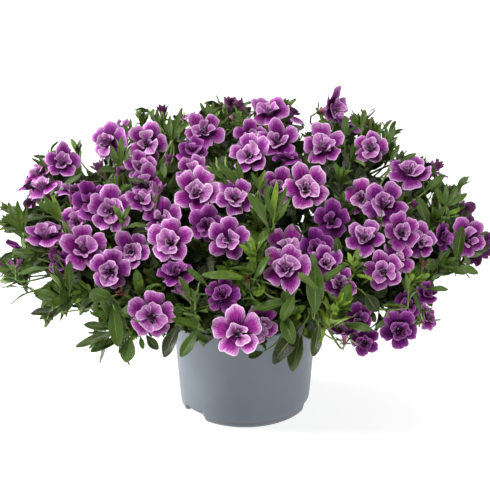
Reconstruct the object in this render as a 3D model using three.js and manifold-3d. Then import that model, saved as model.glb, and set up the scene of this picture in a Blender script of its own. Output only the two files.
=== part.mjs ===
// A double-flowered calibrachoa growing in its round nursery pot.
// Millimetres, +Z up, origin on the pot's axis where its foot meets the table; the front is -Y.
import * as THREE from 'three';
import { mergeVertices } from 'three/addons/utils/BufferGeometryUtils.js';
import Module from 'manifold-3d';

const wasm = await Module();
wasm.setup();

// ---- Driving dimensions: the pot and its soil ----
const POT_HEIGHT = 85;
const RIM_RADIUS = 60;
const LIP_HEIGHT = 2.6;
const LIP_PROUD = 0.9;
const FOOT_RADIUS = 52.6;
const FOOT_ROUNDING = 2.6;
const WALL = 1.6;
const FLOOR_TOP = 9.6;
const FLOOR_BOTTOM = 7.2;
const FOOT_RING_INNER = 48.2;
const POT_SIDES = 28;
const SOIL_SIDES = 12;
const NOTCH_HEADINGS = [218, 348, 103];
const NOTCH_HEIGHT = 6.6;
const NOTCH_HALF_WIDTH = 11.5;
const NOTCH_SLOPE = 2.4;
const NOTCH_DEPTH = 20;
const DRAIN_COUNT = 6;
const DRAIN_RADIUS = 3.5;
const DRAIN_CIRCLE = 30;
const DRAIN_SIDES = 6;
const LIP_UNDERCUT = 0.6;
const LIP_ROUNDING = 0.5;
const SOIL_TOP = 76;
const SOIL_CROWN = 2.4;
const SOIL_EDGE_DROP = 2;
const SOIL_CLEARANCE = 0.55;
const SOIL_WAVE = 0.7;
const GAP = 0.3;
const TIDY = 0.1;

// ---- Driving dimensions: the mound of foliage ----
const SPREAD_X = 196;
const SPREAD_Y = 176;
const WAIST_HEIGHT = 145;
const RISE = 96;
const DROP = 55;
const RISE_FALL_RIGHT = 0.12;
const DROP_SAG_LEFT = 0.25;
const HALF_SPAN_X = 198;
const HALF_SPAN_Y = 188;

// Front blooms and shoots are given as [across, up] millimetres on an upright sheet through
// the plant's middle, as they line up for an eye this far off and this high above level.
const SIGHT_DISTANCE = 1800;
const SIGHT_ELEVATION = 23.6;
const SIGHT_CENTRE_HEIGHT = 138.5;

// ---- Driving dimensions: branches, blooms and leaves ----
const CORE_DEPTH = 42;
const CORE_WIDE = 19;
const CORE_THICK = 11;
const STEM_ROOT_DEPTH = 12;
const STEM_RADIUS = 2.2;
const STEM_SIDES = 4;
const STEM_RISE = 6;
const STEM_BOW = 4;
const STEM_HEADING_SHIFT = 0.18;
const STEM_TILT_SHIFT = 3;
const STALK_RADIUS = 1.5;
const SHOOT_RADIUS = 1.25;
const TUBE_LENGTH = 0.9;
const JOINT_CLEARANCE = 6;
const TRIM_MARGIN = 0.4;
const BLOOMS_PER_SPRAY = 3;
const LEAF_THICKNESS = 1.5;
const ROOT_SUNK = 1.6;
const STAND_OUT = 22;
const LEAF_LENGTH = 25;
const LEAF_WIDTH = 9;
const LEAF_LENGTH_SHARE = 1.15;
const LEAF_LENGTH_SHIFT = 0.3;
const LEAF_ARCH = 0.16;
const LARGE_LEAF = 25;
const SHOOT_LEAF_SLENDERNESS = 0.36;
const SHOOT_LEAF_TAPER = 0.3;
const SHOOT_OPENING = 62;
const SHOOT_CLOSING = 44;
const SHOOT_OPENING_SHIFT = 8;
const FILLER_OPENING = 20;
const FILLER_SPREAD = 62;
const FILLER_LEAVES = 3;
const MOST_SHOOT_LEAVES = 5;
const BACK_CANDIDATES = 120;
const BACK_SHOOT_CANDIDATES = 150;
const BACK_SHOOTS = 12;
const BACK_SHOOT_STRIDE = 37;
const BACK_SHOOT_SPACING = 38;
const BLOOM_CLEARANCE = 7;

// Rings of leafy stems: count, angle down from the crown in degrees, first heading in degrees,
// and the distance of their feet from the pot's axis.
const STEM_RINGS = [
  { count: 1, tilt: 2, heading: 270, foot: 0 },
  { count: 6, tilt: 37, heading: 270, foot: 17 },
  { count: 9, tilt: 76, heading: 250, foot: 34 },
];

// Blooms that face the front: [across, up, diameter, lean right, lean up, sunk, tone, turn].
// Lean is the sideways part of the unit vector that the bloom faces along; tone 0 is palest.
// Turn is where one lobe points in the front view, in degrees from the right.
const FRONT_BLOOMS = [
  [-147, 67, 29, 0.1, 0.45, 0, 1, 85],
  [-165, 58, 30, -0.4, 0.8, 0, 1, 150],
  [-162, 47, 31, -0.35, 0.85, 0, 1, 100],
  [-139, 44, 29, 0, 0.95, 0, 1, 100],
  [-124, 36, 30, 0, 0.3, 4, 2, 108],
  [-108, 29, 35, 0, 0.25, 0, 1, 90],
  [-135, 19, 30, -0.2, 0.3, 6, 1, 150],
  [-160, 8, 35, 0, 0.85, 0, 1, 55],
  [-129, -2, 36, 0, 0.35, 0, 1, 97],
  [-108, -20, 33, 0, 0, 0, 1, 80],
  [-110, 84, 35, -0.5, 0.15, 0, 1, 150],
  [-79, 83, 33, 0, 0.2, 0, 0, 70],
  [-84, 63, 26, 0, 0.5, 3, 1, 21],
  [-33, 92, 34, 0, 0.6, 0, 1, 50],
  [-42, 76, 26, 0, 0.75, 0, 2, 60],
  [-79, 49, 26, 0, 0.3, 10, 1, 80],
  [-83, 37, 24, 0.1, 0.6, 0, 1, 100],
  [-42, 58, 29, 0, 0.5, 8, 1, 60],
  [-39, 43, 37, 0, 0.4, 0, 0, 62],
  [-67, 22, 31, -0.1, 0.3, 8, 1, 84],
  [-60, 4, 34, -0.1, 0.25, 0, 1, 88],
  [-31, 17, 28, 0, 0.1, 4, 2, 76],
  [-14, 6, 33, 0.1, 0.15, 0, 1, 82],
  [-8, 39, 30, 0.1, 0.4, 0, 1, 50],
  [20, 107, 34, -0.2, 0.75, 0, 1, 50],
  [26, 84, 33, 0, 0.45, 0, 1, 95],
  [4, 73, 34, -0.25, 0.5, 0, 1, 93],
  [4, 88, 26, 0, 0.3, 10, 1, 90],
  [33, 69, 26, 0.1, 0.95, 0, 2, 60],
  [26, 47, 29, 0, 0.3, 6, 1, 65],
  [49, 47, 37, 0, 0.3, 0, 0, 115],
  [70, 110, 33, 0.8, 0.2, 0, 1, 95],
  [63, 79, 36, 0, 0.55, 0, 1, 100],
  [101, 79, 28, -0.1, 0.2, 4, 1, 78],
  [132, 59, 36, 0, 0.7, 0, 1, 52],
  [112, 33, 35, 0, 0.3, 0, 1, 55],
  [94, 38, 30, -0.1, 0.1, 10, 0, 92],
  [126, 11, 29, 0, 0.2, 0, 1, 35],
  [141, 3, 27, 0.2, 0.3, 5, 1, 15],
  [159, 7, 23, 0.7, 0.2, 6, 2, 80],
  [179, 6, 32, 0.1, 0.1, 0, 1, 50],
  [70, 20, 28, 0, 0.15, 4, 2, 88],
  [96, 6, 32, 0, 0.55, 0, 1, 53],
  [57, -2, 27, 0, 0.3, 5, 2, 93],
  [33, -2, 33, 0, 0.4, 7, 0, 60],
  [33, -18, 37, 0, 0.45, 0, 1, 68],
  [65, -14, 27, 0.1, 0.3, 0, 1, 100],
  [76, -31, 28, 0.1, 0.5, 0, 1, 58],
  [111, -20, 30, -0.1, 0.05, 0, 1, 105],
  [122, -11, 28, 0, 0.3, 8, 0, 40],
  [-91, -4, 30, 0, 0.25, 0, 1, 56],
  [-56, -22, 30, 0, 0.75, 0, 2, 25],
  [-18, -39, 28, -0.15, 0.25, 0, 2, 78],
  [-75, -56, 37, 0, 0, 0, 1, 81],
  [-6, -69, 38, 0, 0.1, 0, 0, 97],
  [11, -63, 32, 0.3, 0, 10, 1, 48],
  [124, -67, 30, 0, 0, 0, 2, 56],
  [132, -47, 23, 0, 0.1, 10, 2, 85],
  [146, -39, 18, 0.2, 0.5, 0, 2, 100],
  [146, -58, 21, 0.5, 0.5, 0, 1, 60],
  [96, -77, 23, -0.2, 0, 6, 2, 34],
  [80, -69, 25, 0, 0.9, 6, 1, 90],
  [92, -58, 22, 0, 0.2, 12, 2, 115],
  [-147, -15, 23, -0.1, 0.1, 12, 2, 60],
];

// Leafy shoots that stand out at the front: [across, up, heading on the sheet in degrees (0 is
// right, 90 is up), lean towards the eye, leafy length, leaf count, leaf length, tone].
const FRONT_SHOOTS = [
  [-184, 26, 112, 0.1, 24, 6, 26, 1],
  [-158, 76, 105, -0.3, 12, 4, 18, 1],
  [-101, 78, 92, 0, 16, 4, 18, 1],
  [-52, 97, 85, 0, 16, 5, 18, 1],
  [-28, 106, 95, 0, 14, 4, 18, 1],
  [-5, 104, 88, 0, 12, 4, 15, 1],
  [97, 102, 78, 0, 18, 5, 20, 1],
  [116, 92, 66, 0, 16, 4, 20, 1],
  [130, 76, 50, 0, 12, 3, 16, 1],
  [170, 44, 38, 0.1, 18, 5, 22, 1],
  [172, 24, 15, 0.1, 16, 4, 22, 1],
  [21, 36, 86, 0.35, 22, 6, 24, 1],
  [8, -8, 96, 0.5, 26, 7, 28, 2],
  [110, 28, 88, 0.4, 16, 4, 20, 2],
  [-102, 51, 84, 0.2, 14, 4, 16, 1],
  [-20, 56, 150, 0.3, 22, 5, 26, 1],
  [57, -30, 88, 0.5, 10, 3, 36, 1],
  [74, -50, 70, 0.5, 20, 7, 24, 2],
  [-184, -22, 118, 0.1, 18, 6, 20, 1],
  [-147, -44, 196, 0.3, 20, 6, 27, 0],
  [-112, -72, 202, 0.3, 16, 4, 30, 0],
  [-95, -80, 262, 0.3, 8, 2, 24, 1],
  [-104, -52, 300, 0.6, 12, 3, 38, 0],
  [-38, -78, 245, 0.4, 8, 2, 20, 1],
  [-62, -82, 262, 0.2, 10, 3, 30, 0],
  [34, -80, 250, 0.3, 14, 3, 34, 0],
  [54, -84, 268, 0.3, 8, 2, 28, 1],
  [-99, 20, 90, 0.5, 8, 5, 20, 1],
  [-40, -42, 90, 0.4, 14, 5, 20, 1],
  [88, -18, 86, 0.5, 6, 4, 22, 1],
  [132, -30, 88, 0.3, 20, 6, 22, 1],
  [140, -66, 268, 0.2, 14, 3, 20, 1],
  [-148, -32, 92, 0.4, 7, 3, 30, 0],
  [-168, -6, 180, 0.1, 20, 5, 27, 0],
  [158, 52, 70, 0.1, 16, 4, 22, 1],
  [174, -20, 340, 0.1, 12, 3, 16, 1],
];

// ---- Small vector and number helpers ----
const vector = (x, y, z) => new THREE.Vector3(x, y, z);
const radians = THREE.MathUtils.degToRad;
const GOLDEN_ANGLE = radians(137.5);

// One seeded draw in [0, 1) for each kind of thing, its number and the use that it is put to.
function draw(kind, index, use) {
  let t = (kind * 7919 + index * 104729 + use * 1299709 + 12345) >>> 0;
  t = Math.imul(t ^ (t >>> 16), 0x45d9f3b) >>> 0;
  t = Math.imul(t ^ (t >>> 15), 0x2c1b3c6d) >>> 0;
  t = (t ^ (t >>> 16)) >>> 0;
  return t / 4294967296;
}

const spread = (kind, index, use) => 2 * draw(kind, index, use) - 1;

// The sum of two vectors, each times its own share.
function blend(a, shareOfA, b, shareOfB) {
  return a.clone().multiplyScalar(shareOfA).addScaledVector(b, shareOfB);
}

// Two directions square to an axis and to each other.
function sidewaysOf(axis) {
  const helper = Math.abs(axis.z) < 0.9 ? vector(0, 0, 1) : vector(0, 1, 0);
  const side = new THREE.Vector3().crossVectors(helper, axis).normalize();
  const over = new THREE.Vector3().crossVectors(axis, side);
  return [side, over];
}

// ---- The mound's outer surface ----
function moundHeight(x, upper) {
  const share = Math.min(Math.max(upper ? x / SPREAD_X : -x / SPREAD_X, 0), 1);
  return upper ? RISE * (1 - RISE_FALL_RIGHT * share) : DROP * (1 + DROP_SAG_LEFT * share);
}

function moundNormal(point) {
  const height = moundHeight(point.x, point.z >= WAIST_HEIGHT);
  const normal = vector(
    point.x / SPREAD_X ** 2,
    point.y / SPREAD_Y ** 2,
    (point.z - WAIST_HEIGHT) / height ** 2,
  );
  return normal.normalize();
}

function moundPoint(tilt, heading) {
  const x = SPREAD_X * Math.sin(tilt) * Math.cos(heading);
  const y = SPREAD_Y * Math.sin(tilt) * Math.sin(heading);
  const height = moundHeight(x, Math.cos(tilt) >= 0);
  return vector(x, y, WAIST_HEIGHT + height * Math.cos(tilt));
}

// ---- The sight line from the eye through a point on the sheet ----
const elevation = radians(SIGHT_ELEVATION);
const sightForward = vector(0, Math.cos(elevation), -Math.sin(elevation));
const sightUp = vector(0, Math.sin(elevation), Math.cos(elevation));
const sightRight = vector(1, 0, 0);
const eye = vector(0, 0, SIGHT_CENTRE_HEIGHT).addScaledVector(sightForward, -SIGHT_DISTANCE);

function sightLine(across, up) {
  const line = sightForward.clone().multiplyScalar(SIGHT_DISTANCE);
  line.addScaledVector(sightRight, across).addScaledVector(sightUp, up);
  return line.normalize();
}

// Where the sight line meets the mound, or passes nearest to it, then `sunk` further on.
function moundAt(across, up, sunk) {
  const line = sightLine(across, up);
  let point = null;
  for (const upper of [true, false]) {
    const height = moundHeight(across, upper);
    const o = vector(eye.x / SPREAD_X, eye.y / SPREAD_Y, (eye.z - WAIST_HEIGHT) / height);
    const d = vector(line.x / SPREAD_X, line.y / SPREAD_Y, line.z / height);
    const a = d.dot(d);
    const b = o.dot(d);
    const inside = Math.max(b * b - a * (o.dot(o) - 1), 0);
    point = eye.clone().addScaledVector(line, (-b - Math.sqrt(inside)) / a);
    if (upper && point.z >= WAIST_HEIGHT) {
      break;
    }
  }
  return point.addScaledVector(line, sunk);
}

function leanVector(right, up) {
  const towards = Math.sqrt(Math.max(1 - right * right - up * up, 0));
  const lean = sightRight.clone().multiplyScalar(right).addScaledVector(sightUp, up);
  return lean.addScaledVector(sightForward, -towards).normalize();
}

// ---- Layout: leafy stems ----
function layStems() {
  const stems = [];
  for (const ring of STEM_RINGS) {
    for (let k = 0; k < ring.count; k += 1) {
      const number = stems.length;
      const step = 360 / ring.count;
      const heading = radians(ring.heading + step * (k + STEM_HEADING_SHIFT * spread(1, number, 0)));
      const tilt = radians(ring.tilt + STEM_TILT_SHIFT * spread(1, number, 1));
      const surface = moundPoint(tilt, heading);
      const outward = moundNormal(surface);
      const centre = surface.clone().addScaledVector(outward, -CORE_DEPTH);
      const foot = vector(ring.foot * Math.cos(heading), ring.foot * Math.sin(heading), SOIL_TOP);
      stems.push({ centre, outward, foot });
    }
  }
  return stems;
}

function nearestStem(point, stems) {
  let best = 0;
  stems.forEach((stem, number) => {
    if (stem.centre.distanceTo(point) < stems[best].centre.distanceTo(point)) {
      best = number;
    }
  });
  return best;
}

// ---- Layout: blooms ----
const LOBES = 5;
const NUDGE = 2.5;
const NUDGE_TRIES = 9;
const BACK_NUDGES = 2;
const BACK_LIMIT = 0.2;
const BACK_LOWEST = 107;
// Back places that stay empty, as their blooms would stand out past the outline the front shows.
const BACK_LEFT_OUT = [6, 14, 19, 50, 55, 56, 72, 76, 89, 93, 101, 106, 115];
const BACK_SUNK = 7;
const BACK_DIAMETER = 29;
const BACK_DIAMETER_SHIFT = 7;
const BACK_REACH = 1.35;
const PETAL_THICKNESS = 1.6;
const BETWEEN_LOBES = 0.62;
const LOBE_SHIFT = 0.06;
const LOBE_LIFT = 0.08;
const LOBE_CORNER = 0.24;
const CROWN_RADIUS = 0.42;
const CROWN_HEIGHT = 0.3;
const CROWN_SHIFT = 0.08;
const CROWN_DIP = 0.12;
const THROAT_RADIUS = 0.3;
const THROAT_DEPTH = 0.14;

// A point's distance from the bloom's axis and its height over the bloom's face.
function inBloom(point, bloom) {
  const apart = point.clone().sub(bloom.centre);
  const height = apart.dot(bloom.face);
  return [Math.sqrt(Math.max(apart.lengthSq() - height * height, 0)), height];
}

function insideBloom(point, bloom) {
  const [out, height] = inBloom(point, bloom);
  const size = bloom.radius;
  const inPetals = out < size && Math.abs(height) < PETAL_THICKNESS;
  const inCrown = out < CROWN_RADIUS * size + 1 && height > 0 && height < CROWN_HEIGHT * size + 1;
  const down = -height / (TUBE_LENGTH * size);
  const inTube = down > 0 && down < 1 && out < THROAT_RADIUS * size * (1 - down) + 1.5;
  return inPetals || inCrown || inTube;
}

// Rings of points on a bloom: distance from its axis and height, in radii, and count.
const PROBE_RINGS = [
  [1, 0, 15],
  [0.66, 0, 10],
  [CROWN_RADIUS, CROWN_HEIGHT, 5],
  [0.2, -0.4, 3],
  [0.1, -0.8, 2],
];

function probesOf(bloom) {
  const [side, over] = sidewaysOf(bloom.face);
  const probes = [];
  for (const [out, height, count] of PROBE_RINGS) {
    for (let k = 0; k < count; k += 1) {
      const turn = (2 * Math.PI * k) / count;
      const probe = bloom.centre.clone().addScaledVector(bloom.face, height * bloom.radius);
      probe.addScaledVector(side, out * bloom.radius * Math.cos(turn));
      probes.push(probe.addScaledVector(over, out * bloom.radius * Math.sin(turn)));
    }
  }
  return probes;
}

function bloomsCross(a, b) {
  if (a.centre.distanceTo(b.centre) > a.radius + b.radius + 4) {
    return false;
  }
  return probesOf(a).some((p) => insideBloom(p, b)) || probesOf(b).some((p) => insideBloom(p, a));
}

// The spin that lets one lobe point at `turn` in the front view.
function spinTowards(face, turn) {
  const way = blend(sightRight, Math.cos(turn), sightUp, Math.sin(turn));
  way.addScaledVector(sightForward, -way.dot(face) / sightForward.dot(face));
  const [side, over] = sidewaysOf(face);
  return Math.atan2(way.dot(over), way.dot(side));
}

function layBlooms() {
  const blooms = [];
  const place = (centre, face, diameter, tone, spin, inward, tries) => {
    const bloom = { centre, face, radius: diameter / 2, tone, spin, number: blooms.length };
    for (let k = 0; k < NUDGE_TRIES; k += 1) {
      if (!blooms.some((other) => bloomsCross(bloom, other))) {
        blooms.push(bloom);
        return;
      }
      if (k === tries) {
        return;
      }
      bloom.centre.addScaledVector(inward, NUDGE);
    }
    blooms.push(bloom);
  };
  const foremostFirst = [...FRONT_BLOOMS].sort((a, b) => a[5] - b[5]);
  for (const [across, up, diameter, right, rise, sunk, tone, turn] of foremostFirst) {
    const face = leanVector(right, rise);
    const spin = spinTowards(face, radians(turn));
    const inward = sightLine(across, up);
    place(moundAt(across, up, sunk), face, diameter, tone, spin, inward, NUDGE_TRIES);
  }
  for (let k = 0; k < BACK_CANDIDATES; k += 1) {
    const { surface, outward } = backPlace(k, BACK_CANDIDATES, 3);
    const hidden = outward.dot(sightForward) > -BACK_LIMIT && surface.z > BACK_LOWEST;
    if (hidden && !BACK_LEFT_OUT.includes(k)) {
      const jitter = vector(spread(3, k, 1), spread(3, k, 2), spread(3, k, 3) + 0.7);
      const face = outward.clone().addScaledVector(jitter, 0.3).normalize();
      const centre = surface.addScaledVector(outward, -1 - BACK_SUNK * draw(3, k, 4));
      const diameter = BACK_DIAMETER + BACK_DIAMETER_SHIFT * draw(3, k, 5);
      const tone = Math.floor(2.6 * draw(3, k, 6));
      const spin = 2 * Math.PI * draw(2, k, 0);
      place(centre, face, diameter, tone, spin, outward.clone().negate(), BACK_NUDGES);
    }
  }
  return blooms;
}

// The k-th of `count` places spread evenly over the mound from its crown to under its waist.
function backPlace(k, count, kind) {
  const tilt = Math.acos(1 - (BACK_REACH * (k + 0.5)) / count);
  const heading = k * GOLDEN_ANGLE + 0.25 * spread(kind, k, 0);
  const surface = moundPoint(tilt, heading);
  return { surface, outward: moundNormal(surface) };
}

// Blooms of one leafy stem, in order round it, shared out among its sprays.
function laySprays(blooms, stems) {
  const owned = stems.map(() => []);
  for (const bloom of blooms) {
    const number = nearestStem(bloom.centre, stems);
    const [side, over] = sidewaysOf(stems[number].outward);
    const apart = bloom.centre.clone().sub(stems[number].centre);
    bloom.turn = Math.atan2(apart.dot(over), apart.dot(side));
    owned[number].push(bloom);
  }
  const sprays = [];
  owned.forEach((group, stem) => {
    group.sort((a, b) => a.turn - b.turn);
    const parts = Math.round(group.length / BLOOMS_PER_SPRAY) || (group.length > 0 ? 1 : 0);
    for (let k = 0; k < parts; k += 1) {
      const from = Math.round((k * group.length) / parts);
      const to = Math.round(((k + 1) * group.length) / parts);
      sprays.push({ stem, blooms: group.slice(from, to) });
    }
  });
  return sprays;
}

// ---- Layout: shoots and filler leaves ----
// True where no bloom lies across the way of a shoot from its base to its tip.
function betweenBlooms(tip, axis, leafy, blooms) {
  return [0, 0.25, 0.5, 0.75, 1, 1.25].every((share) => {
    const point = tip.clone().addScaledVector(axis, -leafy * share);
    return blooms.every((bloom) => {
      const [out, height] = inBloom(point, bloom);
      return out > bloom.radius + 1 || Math.abs(height) > BLOOM_CLEARANCE;
    });
  });
}

function layShoots(stems, blooms) {
  const shoots = [];
  const place = (tip, axis, leafy, leaves, leafLength, tone) => {
    const base = tip.clone().addScaledVector(axis, -leafy);
    const stem = nearestStem(base, stems);
    shoots.push({ tip, base, axis, leafy, leaves, leafLength, tone, stem, number: shoots.length });
  };
  for (const [across, up, heading, towards, leafy, leaves, leafLength, tone] of FRONT_SHOOTS) {
    const flat = Math.sqrt(1 - towards * towards);
    const axis = sightRight.clone().multiplyScalar(flat * Math.cos(radians(heading)));
    axis.addScaledVector(sightUp, flat * Math.sin(radians(heading)));
    axis.addScaledVector(sightForward, -towards).normalize();
    place(moundAt(across, up, -STAND_OUT * towards), axis, leafy, leaves, leafLength, tone);
  }
  for (let k = 0; k < BACK_SHOOT_CANDIDATES; k += 1) {
    const at = (k * BACK_SHOOT_STRIDE) % BACK_SHOOT_CANDIDATES;
    const { surface, outward } = backPlace(at, BACK_SHOOT_CANDIDATES, 9);
    const hidden = outward.dot(sightForward) > -BACK_LIMIT && surface.z > BACK_LOWEST;
    if (hidden && shoots.length < FRONT_SHOOTS.length + BACK_SHOOTS) {
      const jitter = vector(spread(9, k, 1), spread(9, k, 2), spread(9, k, 3) + 0.5);
      const axis = outward.clone().addScaledVector(jitter, 0.45).normalize();
      const tip = surface.addScaledVector(outward, 2 + 9 * draw(9, k, 4));
      const leafy = 16 + 8 * draw(9, k, 5);
      const within = Math.abs(tip.x) < HALF_SPAN_X;
      const apart = shoots.every((shoot) => shoot.tip.distanceTo(tip) > BACK_SHOOT_SPACING);
      if (within && apart && betweenBlooms(tip, axis, leafy, blooms)) {
        place(tip, axis, leafy, 5, 19 + 7 * draw(9, k, 6), 1);
      }
    }
  }
  return shoots;
}

// Blade places along a shoot: root, direction, face normal, length and width of each.
function shootBlades(shoot) {
  const [side, over] = sidewaysOf(shoot.axis);
  const blades = [];
  const leaves = Math.min(shoot.leaves, MOST_SHOOT_LEAVES);
  for (let k = 0; k < leaves; k += 1) {
    const share = leaves > 1 ? k / (leaves - 1) : 1;
    const turn = k * GOLDEN_ANGLE + 2 * Math.PI * draw(4, shoot.number, 0);
    const radial = blend(side, Math.cos(turn), over, Math.sin(turn));
    const shift = SHOOT_OPENING_SHIFT * spread(4, shoot.number, k + 1);
    const open = radians(SHOOT_OPENING - SHOOT_CLOSING * share + shift);
    const way = blend(shoot.axis, Math.cos(open), radial, Math.sin(open));
    const face = blend(shoot.axis, Math.sin(open), radial, -Math.cos(open));
    const back = shoot.leafy * (1 - share) + ROOT_SUNK * share;
    const root = shoot.tip.clone().addScaledVector(shoot.axis, -back);
    const length = shoot.leafLength * (1 - SHOOT_LEAF_TAPER * share);
    blades.push({ root, way, face, length, width: length * SHOOT_LEAF_SLENDERNESS });
  }
  return blades;
}

function fillerBlades(stem, number) {
  const [side, over] = sidewaysOf(stem.outward);
  const blades = [];
  for (let k = 0; k < FILLER_LEAVES; k += 1) {
    const turn = k * GOLDEN_ANGLE + 2 * Math.PI * draw(5, number, 0);
    const open = radians(FILLER_OPENING + FILLER_SPREAD * Math.sqrt((k + 0.5) / FILLER_LEAVES));
    const radial = blend(side, Math.cos(turn), over, Math.sin(turn));
    const way = blend(stem.outward, Math.cos(open), radial, Math.sin(open));
    const face = blend(stem.outward, Math.sin(open), radial, -Math.cos(open));
    const root = stem.centre.clone().addScaledVector(radial, 0.6 * CORE_WIDE * Math.sin(open));
    root.addScaledVector(stem.outward, 0.5 * CORE_THICK * Math.cos(open));
    const stretch = LEAF_LENGTH_SHARE + LEAF_LENGTH_SHIFT * spread(5, number, k + 1);
    const length = LEAF_LENGTH * stretch;
    blades.push({ root, way, face, length, width: LEAF_WIDTH });
  }
  return blades;
}

// ---- Solids ----
function solidFromGeometry(geometry) {
  const bare = geometry.clone();
  bare.deleteAttribute('normal');
  bare.deleteAttribute('uv');
  const merged = mergeVertices(bare, 1e-4);
  const mesh = new wasm.Mesh({
    numProp: 3,
    vertProperties: Float32Array.from(merged.attributes.position.array),
    triVerts: Uint32Array.from(merged.index.array),
  });
  return new wasm.Manifold(mesh);
}

function solidFromLists(points, triangles) {
  let volume = 0;
  for (const [a, b, c] of triangles) {
    volume += points[a].dot(new THREE.Vector3().crossVectors(points[b], points[c]));
  }
  const facing = volume > 0 ? triangles : triangles.map(([a, b, c]) => [a, c, b]);
  const mesh = new wasm.Mesh({
    numProp: 3,
    vertProperties: Float32Array.from(points.flatMap((p) => [p.x, p.y, p.z])),
    triVerts: Uint32Array.from(facing.flat()),
  });
  return new wasm.Manifold(mesh);
}

function polygonShape(radius, sides) {
  const corners = [];
  for (let k = 0; k < sides; k += 1) {
    const turn = (2 * Math.PI * k) / sides;
    corners.push(new THREE.Vector2(radius * Math.cos(turn), radius * Math.sin(turn)));
  }
  return new THREE.Shape(corners);
}

// A path whose steps fall exactly on its knots.
class Route extends THREE.Curve {
  constructor(knots) {
    super();
    this.knots = knots;
  }

  getPoint(share) {
    const place = Math.min(Math.max(share, 0), 1) * (this.knots.length - 1);
    const k = Math.min(Math.floor(place), this.knots.length - 2);
    return this.knots[k].clone().lerp(this.knots[k + 1], place - k);
  }

  getPointAt(share) {
    return this.getPoint(share);
  }

  getTangentAt(share) {
    return this.getTangent(share);
  }
}

function tubeAlong(knots, radius, sides) {
  const options = { steps: knots.length - 1, bevelEnabled: false, extrudePath: new Route(knots) };
  return solidFromGeometry(new THREE.ExtrudeGeometry(polygonShape(radius, sides), options));
}

// A leaf with a lens-shaped section: flat edges, a raised midrib and a slight downward arch.
// A large leaf has two stations across it between root and tip, a small one has one.
function bladeSolid(blade) {
  const across = new THREE.Vector3().crossVectors(blade.face, blade.way).normalize();
  const at = (along, wide, high) => {
    const point = blade.root.clone().addScaledVector(blade.way, along * blade.length);
    point.addScaledVector(across, (wide * blade.width) / 2);
    return point.addScaledVector(blade.face, high - LEAF_ARCH * blade.length * along * along);
  };
  const rib = LEAF_THICKNESS / 2;
  if (blade.length < LARGE_LEAF) {
    const ends = [at(0, 0, 0), at(1, 0, 0)];
    const points = [...ends, at(0.5, -1, 0.2), at(0.5, 1, 0.2), at(0.5, 0, rib), at(0.5, 0, -rib)];
    const top = [[0, 3, 4], [0, 4, 2], [1, 4, 3], [1, 2, 4]];
    const bottom = [[0, 5, 3], [0, 2, 5], [1, 3, 5], [1, 5, 2]];
    return solidFromLists(points, [...top, ...bottom]);
  }
  const points = [
    at(0, 0, 0), at(1, 0, 0),
    at(0.32, -0.9, 0.3), at(0.66, -0.8, 0.2), at(0.32, 0.9, 0.3), at(0.66, 0.8, 0.2),
    at(0.32, 0, rib), at(0.66, 0, rib), at(0.32, 0, -rib), at(0.66, 0, -rib),
  ];
  const half = (low, high) => [
    [0, 4, low], [0, low, 2],
    [low, 4, 5], [low, 5, high], [low, high, 3], [low, 3, 2],
    [high, 5, 1], [high, 1, 3],
  ];
  const triangles = [...half(6, 7), ...half(8, 9).map(([a, b, c]) => [a, c, b])];
  return solidFromLists(points, triangles);
}

// ---- Bloom head: five outer lobes, a raised crown of inner petals and a funnel behind ----
function bloomFrame(bloom) {
  const [side, over] = sidewaysOf(bloom.face);
  const right = blend(side, Math.cos(bloom.spin), over, Math.sin(bloom.spin));
  const up = new THREE.Vector3().crossVectors(bloom.face, right);
  return (radius, turn, height) => {
    const point = bloom.centre.clone().addScaledVector(bloom.face, height);
    point.addScaledVector(right, radius * Math.cos(turn));
    return point.addScaledVector(up, radius * Math.sin(turn));
  };
}

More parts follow.
